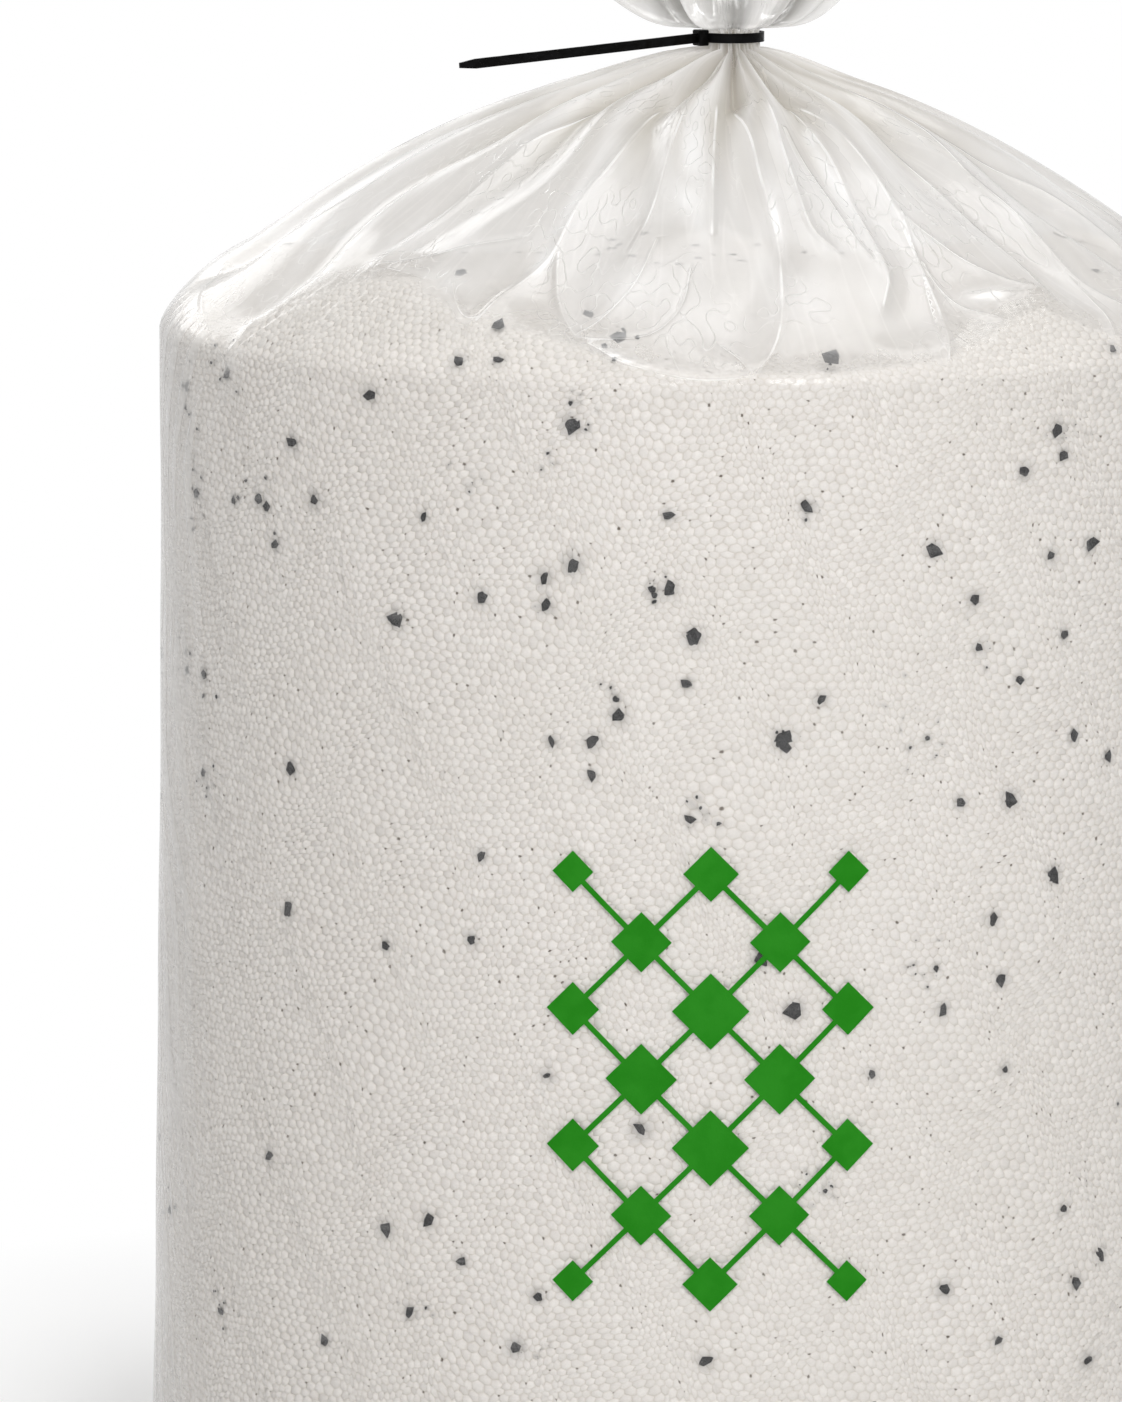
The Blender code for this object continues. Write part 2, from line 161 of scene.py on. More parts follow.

# Painted highlights: patches where the film over the dome is painted whitest, in pixels:
# (x, y, half length, half width, turn in degrees, strength)
BRIGHT_PATCHES = (
    (228, 310, 16, 9, 20, 0.4), (231, 346, 14, 6, -60, 0.3), (318, 240, 62, 9, -52, 0.8),
    (300, 215, 40, 10, -38, 0.4), (544, 260, 26, 9, -58, 1.0), (572, 205, 36, 6, -62, 0.8),
    (450, 282, 28, 14, 10, 0.7), (632, 285, 42, 26, 0, 0.6), (615, 356, 46, 4, 22, 0.9),
    (692, 150, 26, 10, -85, 1.0), (686, 200, 18, 15, 40, 1.0), (668, 120, 30, 7, -70, 0.5),
    (776, 220, 34, 7, 78, 0.8), (811, 140, 16, 9, 60, 0.8), (836, 185, 58, 9, 60, 1.0),
    (989, 296, 30, 9, -10, 0.9), (1018, 212, 24, 6, 40, 0.7), (815, 300, 34, 40, 0, 0.35),
    (725, 300, 34, 36, 0, 0.3), (905, 225, 40, 6, 52, 0.6), (1060, 190, 60, 5, 34, 0.6),
    (500, 200, 60, 6, -36, 0.4), (735, 175, 40, 7, 88, 0.4), (420, 150, 70, 7, -30, 0.5),
)

# The larger dark chips in view, in pixels
CHIPS = (
    (368, 395), (290, 443), (312, 500), (422, 517), (457, 360), (498, 324), (497, 358),
    (668, 516), (572, 565), (543, 578), (652, 590), (669, 590), (694, 638), (687, 685),
    (618, 716), (592, 742), (551, 742), (591, 776), (784, 742), (822, 700), (808, 508),
    (935, 550), (976, 600), (980, 648), (1066, 635), (1053, 556), (1060, 430), (1027, 472),
    (1066, 455), (962, 803), (1012, 800), (1110, 757), (1056, 875), (995, 919), (1003, 980),
    (945, 1010), (1007, 1070), (480, 856), (286, 910), (470, 940), (384, 946), (546, 1076),
    (795, 1011), (384, 1230), (427, 1220), (537, 1297), (515, 1348), (323, 1342), (946, 1290),
    (1000, 1341), (1103, 1255), (834, 355), (288, 768), (690, 820), (545, 606), (1076, 736),
    (570, 425), (459, 268), (605, 345), (264, 507), (273, 545), (394, 620), (480, 598),
    (1093, 545), (872, 1075), (460, 1262), (408, 1313), (706, 1362), (620, 335), (1078, 1283),
    (586, 305), (1022, 680), (266, 1156), (1066, 1210), (1090, 1360), (640, 1130), (760, 960),
)
CHIP_CLUSTERS = (
    (575, 415, 14), (930, 740, 22), (812, 505, 10), (700, 815, 12), (543, 605, 8), (615, 705, 10),
    (1062, 440, 16), (925, 970, 14), (655, 590, 9), (830, 355, 8), (545, 462, 8), (780, 740, 9),
    (978, 645, 10), (620, 338, 12), (540, 1345, 8), (415, 1300, 9), (820, 1190, 16), (470, 480, 9),
)


def mix(start, end, share):
    return start + (end - start) * share


def smoothstep(value):
    value = np.clip(value, 0.0, 1.0)
    return value * value * (3.0 - 2.0 * value)


def within(value, circle=2 * math.pi):
    """The value, brought to within half a circle of 0."""
    return (value + 0.5 * circle) % circle - 0.5 * circle


# The bag's outline


def wall_radius(height):
    return BAG_RADIUS + BASE_SPREAD * np.maximum(1.0 - height / SHOULDER_HEIGHT, 0.0) ** 1.5


def dome(share):
    crown_radius = NECK_RADIUS + CROWN_PULL * math.cos(CROWN_SLOPE)
    crown_height = SHOULDER_HEIGHT + DOME_HEIGHT - CROWN_PULL * math.sin(CROWN_SLOPE)
    guides = (
        (BAG_RADIUS, SHOULDER_HEIGHT),
        (BAG_RADIUS, SHOULDER_HEIGHT + SHOULDER_PULL),
        (crown_radius, crown_height),
        (NECK_RADIUS, SHOULDER_HEIGHT + DOME_HEIGHT),
    )
    rest = 1.0 - share
    weights = (rest**3, 3 * rest**2 * share, 3 * rest * share**2, share**3)
    radius = sum(weight * guide[0] for weight, guide in zip(weights, guides))
    height = sum(weight * guide[1] for weight, guide in zip(weights, guides))
    return radius, height


class Outline:
    """A profile that is looked up by its run: the length along it, in metres."""

    def __init__(self, radius, height, zero_at=0.0):
        self.radius = np.asarray(radius, float)
        self.height = np.asarray(height, float)
        steps = np.hypot(np.diff(self.radius), np.diff(self.height))
        self.run = np.concatenate(([0.0], np.cumsum(steps)))
        self.run -= np.interp(zero_at, self.height, self.run) if zero_at else 0.0
        along_radius = np.gradient(self.radius, self.run)
        along_height = np.gradient(self.height, self.run)
        size = np.hypot(along_radius, along_height)
        self.out_radius = along_height / size
        self.out_height = -along_radius / size

    def at(self, run):
        """(radius, height, outward radius, outward height) at a run."""
        return [
            np.interp(run, self.run, values)
            for values in (self.radius, self.height, self.out_radius, self.out_height)
        ]


def film_outline():
    """The film's outside from the base's centre to the top of the neck. Run 0 is the shoulder."""
    turn = np.linspace(0.0, 0.5 * math.pi, FOOT_POINTS)
    centre = wall_radius(BASE_EDGE_RADIUS) - BASE_EDGE_RADIUS
    wall = np.linspace(BASE_EDGE_RADIUS, SHOULDER_HEIGHT, 200)[1:]
    dome_radius, dome_height = dome(DOME_SHARES[1:])
    neck_height = (mix(SHOULDER_HEIGHT + DOME_HEIGHT, NECK_TOP, 0.5), NECK_TOP)
    foot_radius = centre + BASE_EDGE_RADIUS * np.sin(turn)
    foot_height = BASE_EDGE_RADIUS * (1.0 - np.cos(turn))
    radius = ([0.0], foot_radius, wall_radius(wall), dome_radius, [NECK_RADIUS, NECK_RADIUS])
    height = ([0.0], foot_height, wall, dome_height, neck_height)
    return Outline(np.concatenate(radius), np.concatenate(height), SHOULDER_HEIGHT)


FILM = film_outline()
NECK_RUN = FILM.run[-3]
DOME_SHARE_RUN = Outline(*dome(DOME_SHARES)).run


def dome_share(run):
    """The dome curve's own share, from 0 at the shoulder to 1 at the neck, at a run."""
    return np.interp(run, DOME_SHARE_RUN, DOME_SHARES)


def sideways(run):
    """The neck stands a little to the right of the bag's axis."""
    return NECK_OFFSET * dome_share(run) ** 5


# The photograph's pixels on the bag


def pixel_ray(x, y):
    across = (x - 0.5 * PHOTO_WIDTH) / FOCAL_PIXELS
    up = (0.5 * PHOTO_HEIGHT - y) / FOCAL_PIXELS
    sine, cosine = math.sin(CAMERA_PITCH), math.cos(CAMERA_PITCH)
    return np.array((across, cosine + up * sine, up * cosine - sine))


def pixel_of(points):
    """The photograph's pixel of each point."""
    away = points - np.array(CAMERA_AT)
    sine, cosine = math.sin(CAMERA_PITCH), math.cos(CAMERA_PITCH)
    depth = away[..., 1] * cosine - away[..., 2] * sine
    up = away[..., 2] * cosine + away[..., 1] * sine
    x = 0.5 * PHOTO_WIDTH + FOCAL_PIXELS * away[..., 0] / depth
    return x, 0.5 * PHOTO_HEIGHT - FOCAL_PIXELS * up / depth


def pixel_on(outline, x, y, lean=True):
    """(angle, run) of the first point of a turned outline on a pixel's ray, or the nearest."""
    steps = np.linspace(3.5, 4.4, 4000)[:, None]
    points = np.array(CAMERA_AT) + steps * pixel_ray(x, y)
    first = int(np.argmin(outline.height))
    last = int(np.argmax(outline.height)) + 1
    height = points[:, 2]
    radius = np.interp(height, outline.height[first:last], outline.radius[first:last], right=0)
    run = np.interp(height, outline.height[first:last], outline.run[first:last])
    offset = sideways(run) if lean else 0.0
    clear = np.hypot(points[:, 0] - offset, points[:, 1]) - radius
    inside = np.flatnonzero(clear < 0.0)
    hit = inside[0] if len(inside) else int(np.argmin(clear))
    shift = offset[hit] if lean else 0.0
    angle = math.atan2(points[hit, 0] - shift, -points[hit, 1])
    return angle, float(run[hit])


# Mesh and material helpers


def new_mesh(name, points, loops, sizes, material, smooth=True):
    """A mesh from flat arrays: loops holds the points of each face, one face after another."""
    mesh = bpy.data.meshes.new(name)
    mesh.vertices.add(len(points))
    mesh.vertices.foreach_set("co", np.asarray(points, np.float32).ravel())
    mesh.loops.add(len(loops))
    mesh.loops.foreach_set("vertex_index", np.asarray(loops, np.int32))
    mesh.polygons.add(len(sizes))
    starts = np.concatenate(([0], np.cumsum(sizes)[:-1]))
    mesh.polygons.foreach_set("loop_start", starts.astype(np.int32))
    mesh.update(calc_edges=True)
    mesh.validate()
    mesh.materials.append(material)
    if smooth:
        mesh.shade_smooth()
    else:
        mesh.shade_flat()
    obj = bpy.data.objects.new(name, mesh)
    bpy.context.scene.collection.objects.link(obj)
    return obj


def set_attributes(obj, domain="POINT", kind="FLOAT", **values_by_name):
    for name, values in values_by_name.items():
        attribute = obj.data.attributes.new(name, kind, domain)
        field = "vector" if kind == "FLOAT_VECTOR" else "value"
        attribute.data.foreach_set(field, np.asarray(values, np.float32).ravel())


class Nodes:
    """Short calls for building the nodes of a material, or of the world."""

    def __init__(self, owner):
        self.owner = owner
        owner.use_nodes = True
        self.tree = owner.node_tree
        self.tree.nodes.clear()

    def add(self, kind, inputs=(), **settings):
        node = self.tree.nodes.new("ShaderNode" + kind)
        for key, value in settings.items():
            setattr(node, key, value)
        for key, value in dict(inputs).items():
            self.put(node.inputs[key], value)
        return node

    def put(self, socket, value):
        if isinstance(value, bpy.types.Node):
            value = value.outputs[0]
        if isinstance(value, bpy.types.NodeSocket):
            self.tree.links.new(value, socket)
        elif socket.type == "RGBA" and len(value) == 3:
            socket.default_value = (*value, 1.0)
        else:
            socket.default_value = value

    def math(self, operation, *values, clamp=False):
        inputs = dict(enumerate(values))
        return self.add("Math", inputs, operation=operation, use_clamp=clamp).outputs[0]

    def times(self, first, second):
        return self.math("MULTIPLY", first, second)

    def total(self, base, *parts):
        """The base and each (value, weight) of the parts, added up."""
        for value, weight in parts:
            base = self.math("MULTIPLY_ADD", value, weight, base)
        return base

    def ramp(self, value, low, high, start=0.0, end=1.0, smooth=True):
        inputs = dict(enumerate((value, low, high, start, end)))
        kind = "SMOOTHSTEP" if smooth else "LINEAR"
        return self.add("MapRange", inputs, clamp=True, interpolation_type=kind).outputs[0]

    def ridge(self, noise, width):
        """1 along the lines where a noise crosses its middle, and 0 a width away."""
        away = self.math("ABSOLUTE", self.math("SUBTRACT", noise, 0.5))
        return self.ramp(away, 0.0, width, 1.0, 0.0, smooth=False)

    def blend(self, factor, first, second):
        inputs = {"Factor": factor, 6: first, 7: second}
        return self.add("Mix", inputs, data_type="RGBA").outputs[2]

    def mix_shader(self, factor, first, second):
        return self.add("MixShader", {0: factor, 1: first, 2: second}).outputs[0]

    def attribute(self, name, output="Fac"):
        return self.add("Attribute", attribute_name=name).outputs[output]

    def place(self):
        return self.add("TexCoord").outputs["Object"]

    def noise(self, vector, scale, detail=2.0, roughness=0.5, flat=False):
        inputs = {"Vector": vector, "Scale": scale, "Detail": detail, "Roughness": roughness}
        dimensions = "2D" if flat else "3D"
        return self.add("TexNoise", inputs, noise_dimensions=dimensions).outputs["Fac"]

    def stretched(self, vector, scale, detail, roughness=0.5, turn=0.0):
        """A flat noise with a scale of its own on each axis."""
        inputs = {"Vector": vector, "Scale": scale, "Rotation": (0.0, 0.0, turn)}
        return self.noise(self.add("Mapping", inputs), 1.0, detail, roughness, flat=True)

    def bump(self, height, strength=1.0, distance=1.0):
        return self.add("Bump", {"Height": height, "Strength": strength, "Distance": distance})

    def seen_directly(self):
        """1 for rays from the camera, and for those that a reflection or clear film sends on."""
        path = self.add("LightPath").outputs
        seen = self.math("MAXIMUM", path["Is Camera Ray"], path["Is Glossy Ray"])
        return self.math("MAXIMUM", seen, path["Is Transmission Ray"])

    def principled(self, colour, roughness, specular, bump=None):
        inputs = {"Base Color": colour, "Roughness": roughness, "Specular IOR Level": specular}
        if bump:
            inputs["Normal"] = bump
        return self.finish(self.add("BsdfPrincipled", inputs))

    def finish(self, shader, kind="OutputMaterial"):
        self.add(kind, {"Surface": shader})
        return self.owner


def new_nodes(name):
    """The nodes of a new material."""
    return Nodes(bpy.data.materials.new(name))


# Materials


def film_material():
    n = new_nodes("clear_film_dressed")
    place = n.attribute("unrolled", "Vector")
    loose, bright, haze = (n.attribute(name) for name in ("loose", "bright", "haze"))
    away, side = n.attribute("crease_away"), n.attribute("crease_side")
    # Along each crease: a thin white band, partly milkier film where it folds over and partly
    # painted highlight; outside it a band of painted shade, inside it a band of painted light
    beside = n.math("ABSOLUTE", side)
    close = n.ramp(away, 0.0018, 0.0042, 1.0, 0.0)
    near = n.ramp(away, 0.0035, 0.0130, 1.0, 0.0)
    waver = n.ramp(n.noise(place, 28.0, 0.0, flat=True), 0.36, 0.62, 0.22, 1.0)
    line = n.times(n.times(n.ramp(beside, 0.0001, 0.0008, 1.0, 0.0), close), waver)
    ridge = n.times(n.ramp(beside, 0.0, 0.0026, 1.0, 0.0, smooth=False), close)
    dark = n.times(n.ramp(side, 0.0003, 0.0012), n.ramp(side, 0.0014, 0.0075, 1.0, 0.0))
    dark = n.times(dark, near)
    light = n.times(n.ramp(side, -0.0010, -0.0002, 1.0, 0.0), near)
    # Long creases that run to the neck, and short crinkles in patches, whose milk is partly painted
    # glints
    crisp = n.attribute("crisp")
    long_ridge = n.ridge(n.stretched(place, (60.0, 9.0, 1.0), 1.0), 0.07)
    patches = n.ramp(n.stretched(place, (18.0, 14.0, 1.0), 0.0), 0.46, 0.60)
    patches = n.math("MAXIMUM", patches, n.ramp(bright, 0.15, 0.6))
    crinkle = n.times(n.ridge(n.stretched(place, (110.0, 75.0, 1.0), 0.0), 0.035), patches)
    long_ridge, crinkle = n.times(long_ridge, crisp), n.times(crinkle, crisp)
    # The film takes the beads' dimples where it lies on them
    dimple = n.noise(place, 1.0 / BEAD_PITCH, 0.0, flat=True)
    dimple = n.times(dimple, n.math("SUBTRACT", 1.0, loose))
    # Wrinkles down the wall, which lean over near the shoulder; at the bag's left and right sides
    # they are milkier, a painted sheen
    up = n.add("SeparateXYZ", {"Vector": n.place()}).outputs["Z"]
    unrolled = n.add("SeparateXYZ", {"Vector": place}).outputs
    upper = n.math("MAXIMUM", n.math("SUBTRACT", up, LEAN_FROM), 0.0)
    warp = n.times(n.noise(place, 9.0, 0.0, flat=True), 3.0)
    bend = (n.times(upper, upper), LEAN_BEND)
    across = n.total(warp, (unrolled["X"], WRINKLES_ACROSS), bend, (up, LEAN))
    flow = n.add("CombineXYZ", {"X": across, "Y": n.times(up, WRINKLES_UP)})
    streaks = n.ramp(n.noise(flow, 1.0, 0.0, flat=True), 0.46, 0.64)
    streaks = n.times(streaks, n.attribute("streaks"))
    # Thin lines in the film, milkier at the bag's left and right sides, a painted sheen
    fine = n.stretched(place, (60.0, 330.0, 1.0), 0.0, turn=math.radians(30))
    fine = n.times(n.ramp(fine, 0.58, 0.74), n.attribute("fine"))
    crinkle_height = n.times(crinkle, 0.00024)
    height = n.total(crinkle_height, (dimple, 0.0004), (streaks, 0.0010), (ridge, 0.0004))
    normal = n.bump(height)
    # How milky the film is, and its colour, with painted shade and painted light round the creases
    # and folds, and painted highlights and glints
    cloud = n.ramp(n.stretched(place, (22.0, 12.0, 1.0), 1.0, 0.6), 0.3, 0.7)
    milk = n.total(
        n.times(haze, n.ramp(cloud, 0.0, 1.0, 0.92, 1.08, smooth=False)), (long_ridge, 0.05),
        (crinkle, 0.20), (light, 0.10), (bright, 0.30), (fine, 0.16), (streaks, 0.42),
    )
    milk = n.math("MULTIPLY_ADD", line, 0.48, milk, clamp=True)
    # Painted shade in the folds: warm near the neck, grey in the flare's folds and a little over
    # all the flare
    in_flare = n.ramp(unrolled["Y"], NECK_RUN, NECK_RUN + 0.02)
    recess = n.blend(in_flare, (0.53, 0.495, 0.425), (0.26, 0.255, 0.240))
    white = n.blend(n.ramp(cloud, 0.0, 1.0), (0.930, 0.920, 0.906), (0.960, 0.955, 0.948))
    # Painted shade outside each crease, painted light inside it
    white = n.blend(n.times(dark, 0.30), white, (0.56, 0.555, 0.55))
    white = n.blend(n.times(light, 0.30), white, (0.97, 0.968, 0.96))
    white = n.blend(n.attribute("deep"), white, recess)
    # Painted highlight, near white, along the creases and in the highlight patches
    white = n.blend(n.math("MAXIMUM", line, bright), white, (0.975, 0.975, 0.972))

    def sheet(**inputs):
        return n.mix_shader(0.45, n.add("BsdfDiffuse", inputs), n.add("BsdfTranslucent", inputs))

    clear = n.add("BsdfTransparent", {"Color": (0.99, 0.988, 0.982)})
    body = n.mix_shader(milk, clear, sheet(Color=white, Normal=normal))
    roughness = n.ramp(cloud, 0.0, 1.0, 0.14, 0.24)
    inputs = {"Color": (0.9, 0.9, 0.9), "Roughness": roughness, "Normal": normal}
    edge = n.times(n.add("Fresnel", {"IOR": 1.42, "Normal": normal}), 0.75)
    # More gloss where the highlight patches are painted
    edge = n.math("ADD", n.ramp(bright, 0.45, 1.0, 0.0, 0.10), edge)
    full = n.mix_shader(edge, body, n.add("BsdfGlossy", inputs))
    # Shadows and bounced light don't need the creases
    plain = n.mix_shader(haze, clear, sheet(Color=(0.90, 0.89, 0.88)))
    path = n.add("LightPath").outputs
    passing = n.math("MAXIMUM", path["Is Shadow Ray"], path["Is Diffuse Ray"])
    return n.finish(n.mix_shader(passing, full, plain))


def bead_material():
    n = new_nodes("polystyrene_beads_dressed")
    place = n.place()
    grain = n.noise(place, 700.0, 0.0)
    cream = n.blend(n.attribute("tint"), (0.674, 0.641, 0.611), (0.763, 0.735, 0.710))
    cream = n.blend(n.ramp(grain, 0.3, 0.7, 0.0, 0.12), cream, (0.57, 0.540, 0.50))
    # Painted shade in the crevices between the beads
    crevice = n.times(n.ramp(n.attribute("edge"), 0.72, 1.0), 0.38)
    colour = n.blend(crevice, cream, (0.52, 0.465, 0.395))
    dot = n.ramp(n.attribute("junction"), 0.58, 0.82)
    colour = n.blend(dot, colour, (0.10, 0.072, 0.050))
    # Grey round the chips, which show through the beads, and painted shade on the beads of the top
    colour = n.blend(n.attribute("shade"), colour, (0.20, 0.195, 0.19))
    large = n.ramp(n.noise(place, 9.0, 0.0), 0.35, 0.7, 0.0, 0.16)
    colour = n.blend(large, colour, (0.66, 0.63, 0.59))
    # The heap's upper beads lie in the shade of the loose film
    height = n.add("SeparateXYZ", {"Vector": place}).outputs["Z"]
    colour = n.blend(n.ramp(height, 0.590, 0.618, 0.0, 0.30), colour, (0.48, 0.460, 0.43))
    return n.principled(colour, 0.5, 0.35)


def chip_material():
    n = new_nodes("dark_chips")
    grain = n.noise(n.place(), 700.0, 3.0)
    piece = n.noise(n.place(), 60.0, 1.0)
    colour = n.blend(n.ramp(grain, 0.35, 0.8), (0.010, 0.010, 0.011), (0.045, 0.045, 0.047))
    colour = n.blend(n.ramp(piece, 0.45, 0.75, 0.0, 0.5), colour, (0.055, 0.055, 0.057))
    return n.principled(colour, 0.6, 0.2, n.bump(grain, 0.6, 0.0004))


def tie_material():
    n = new_nodes("black_nylon_dressed")
    grain = n.noise(n.place(), 1400.0, 2.0)
    inputs = {"Vector": n.place(), "Scale": (14.0, 420.0, 420.0)}
    streak = n.noise(n.add("Mapping", inputs), 1.0, 0.0)
    bump = n.bump(n.total(streak, (grain, 0.12)), 0.15, 0.0002)
    colour = n.blend(n.ramp(streak, 0.4, 0.7), (0.0018, 0.0017, 0.0016), (0.004, 0.004, 0.0042))
    return n.principled(colour, n.ramp(streak, 0.40, 0.68, 0.46, 0.16), 0.05, bump)


def ink_material():
    n = new_nodes("green_ink_dressed")
    cloud = n.noise(n.place(), 55.0, 3.0, 0.6)
    grain = n.noise(n.place(), 1100.0, 2.0)
    colour = n.blend(n.ramp(cloud, 0.35, 0.65), (0.012, 0.190, 0.005), (0.018, 0.215, 0.009))
    colour = n.blend(n.ramp(grain, 0.55, 0.8, 0.0, 0.35), colour, (0.026, 0.225, 0.016))
    roughness = n.ramp(cloud, 0.3, 0.7, 0.34, 0.46)
    return n.principled(colour, roughness, 0.08, n.bump(grain, 0.3, 0.0002))


# The film


def fold_waves(angle):
    """(share of the way to the next fold, start of the nearer fold) for angles in radians."""
    degrees = np.degrees(angle)
    share = np.zeros_like(degrees)
    start = np.zeros_like(degrees)
    for number, (fold_angle, fold_start) in enumerate(FOLDS):
        next_angle, next_start = FOLDS[(number + 1) % len(FOLDS)]
        spacing = (next_angle - fold_angle) % 360
        past = (degrees - fold_angle) % 360
        inside = past < spacing
        share = np.where(inside, past / spacing, share)
        start = np.where(inside, np.where(past < 0.5 * spacing, fold_start, next_start), start)
    return share, start


def cut_corners(path):
    """The path with its inner corners cut, which rounds it; its ends stay."""
    cut = [path[0]]
    for start, end in zip(path, path[1:]):
        for share in (0.25, 0.75):
            cut.append(tuple(mix(a, b, share) for a, b in zip(start, end)))
    return cut + [path[-1]]


def crease_paths():
    """The creases as (height, width, [(angle, run)]), with more of them round the back."""
    paths = []
    for height, width, *places in CREASES:
        path = [pixel_on(FILM, x, y) for x, y in zip(places[::2], places[1::2])]
        if FILM.at(path[0][1])[0] < 0.09:
            # A crease from the neck starts there, and not where the photograph first shows it
            path[0] = (path[1][0], NECK_RUN - 0.002)
        path = cut_corners(cut_corners(path))
        paths.append((0.001 * height, 0.001 * width, path))
    random = np.random.default_rng(11)
    angle = math.radians(84)
    while angle < math.radians(276):
        end_run = random.uniform(0.008, 0.085)
        bend = random.uniform(-0.16, 0.16)
        path = []
        for share in np.linspace(1.0, 0.0, 8):
            run = mix(end_run, NECK_RUN - 0.004, share)
            wander = bend * (1.0 - share) * share * 3.0 + random.uniform(-0.012, 0.012)
            path.append((angle + wander, run))
        paths.append((random.uniform(0.0035, 0.0055), 0.008, path))
        foot = path[-1]
        side = random.choice((-1.0, 1.0))
        reach = random.uniform(0.05, 0.13)
        arc = [
            (foot[0] + side * reach * step, foot[1] + random.uniform(0.2, 0.5) * reach * step)
            for step in (0.0, 0.35, 0.7, 1.0)
        ]
        paths.append((0.0020, 0.005, arc))
        if random.random() < 0.6:
            middle = path[4]
            branch = [
                (mix(foot[0], middle[0], step) - side * 0.09 * step, mix(foot[1], middle[1], step))
                for step in (0.0, 0.4, 0.8)
            ]
            paths.append((0.0018, 0.005, branch))
        angle += random.uniform(0.16, 0.27)
    return paths


def along_path(angle, run, radius, path):
    """(distance on the film from points to a path, the same with the side's sign), in metres."""
    nearest = np.full(angle.shape, 1.0)
    sided = np.full(angle.shape, 1.0)
    for (angle_a, run_a), (angle_b, run_b) in zip(path, path[1:]):
        across = radius * within(angle - angle_a)
        span = radius * (angle_b - angle_a)
        up, rise = run - run_a, run_b - run_a
        share = (across * span + up * rise) / (span**2 + rise**2 + 1e-12)
        share = np.clip(share, 0.0, 1.0)
        away = np.hypot(across - share * span, up - share * rise)
        off = (across * rise - up * span) / np.sqrt(span**2 + rise**2 + 1e-12)
        closer = away < nearest
        nearest = np.where(closer, away, nearest)
        sided = np.where(closer, off, sided)
    return nearest, sided


def lift_run(angle):
    """The run where the film leaves the beads, at each angle."""
    places = np.array([place[0] for place in HEAP_EDGE]) % 360
    heights = SHOULDER_HEIGHT + np.array([place[1] for place in HEAP_EDGE])
    height = np.interp(np.degrees(angle) % 360, places, heights, period=360)
    return np.interp(height, FILM.height[FOOT_POINTS:-2], FILM.run[FOOT_POINTS:-2])


CONTACT_MOST = float(lift_run(np.radians([place[0] for place in HEAP_EDGE])).max())


def film_shift(angle, run):
    """(how far the film stands out, valley, crease distance, the same signed) on the dome."""
    radius = FILM.at(run)[0]
    share = dome_share(run)
    past_lift = run - lift_run(angle)
    between, start = fold_waves(angle + 0.05 * np.sin(40 * run + 3 * angle))
    sharpness = mix(2.0, 1.2, share)
    valley = (0.5 + 0.5 * np.cos(2 * math.pi * between)) ** sharpness
    valley = valley * smoothstep((share - start) / FOLD_RUN_IN)
    deepest = 0.006 + 0.009 * np.exp(-(((radius - 0.055) / 0.028) ** 2))
    shift = -deepest * valley
    shift -= 0.0050 * smoothstep(past_lift / 0.06) * smoothstep((radius - 0.02) / 0.06)
    pleat = (0.5 + 0.5 * np.cos(4 * math.pi * between + 0.9)) ** 1.5
    shift -= 0.0044 * pleat * np.exp(-(((radius - 0.036) / 0.030) ** 2))
    # The valleys and pleats also set the painted shade of the folds near the neck
    valley = np.maximum(valley, 0.6 * pleat)
    shift *= smoothstep(past_lift / 0.03 + 0.1)
    near = np.clip(radius / 0.10, 0.16, 1.0)
    side = 1.0 - 0.80 * np.abs(np.sin(angle)) ** 5
    neck_fade = 0.008 * smoothstep((0.108 - radius) / 0.052)
    away_least = np.full(angle.shape, 1.0)
    sided_least = np.full(angle.shape, 1.0)
    for height, width, path in crease_paths():
        away, sided = along_path(angle, run, radius, path)
        outer = -math.copysign(1.0, within(path[len(path) // 2][0])) * sided
        soft = np.hypot(away, 0.0008) - 0.0008
        reach = 0.8 * width * near * (1.05 - 0.5 * outer / np.maximum(away, 1e-6))
        shift += 0.35 * height * side * near * np.exp(-soft / reach)
        scaled = away / np.clip(height / 0.0035, 0.35, 1.2) + neck_fade
        closer = scaled < away_least
        away_least = np.where(closer, scaled, away_least)
        narrow = (scaled - neck_fade) / np.maximum(away, 1e-6)
        sided_least = np.where(closer, outer * narrow, sided_least)
    return np.minimum(shift, 0.0024), valley, away_least, sided_least


def bright_patches(points):
    """The painted highlight on the film at points on the dome, from 0 to 1."""
    x, y = pixel_of(points)
    front = points[..., 1] < 0.05
    bright = np.zeros(x.shape)
    for centre_x, centre_y, length, width, turn, strength in BRIGHT_PATCHES:
        turn = math.radians(turn)
        along = (x - centre_x) * math.cos(turn) + (y - centre_y) * math.sin(turn)
        across = (y - centre_y) * math.cos(turn) - (x - centre_x) * math.sin(turn)
        reach = (along / length) ** 2 + (across / width) ** 2
        bright = np.maximum(bright, strength * np.exp(-reach))
    return np.where(front, bright, 0.0)


def ruffle(angle):
    """The folds of the film above the tie, from -1 to 1."""
    between, _ = fold_waves(angle)
    return 0.35 * np.cos(2 * math.pi * between) + 0.65 * np.cos(7 * angle + 1.1 * np.sin(2 * angle))


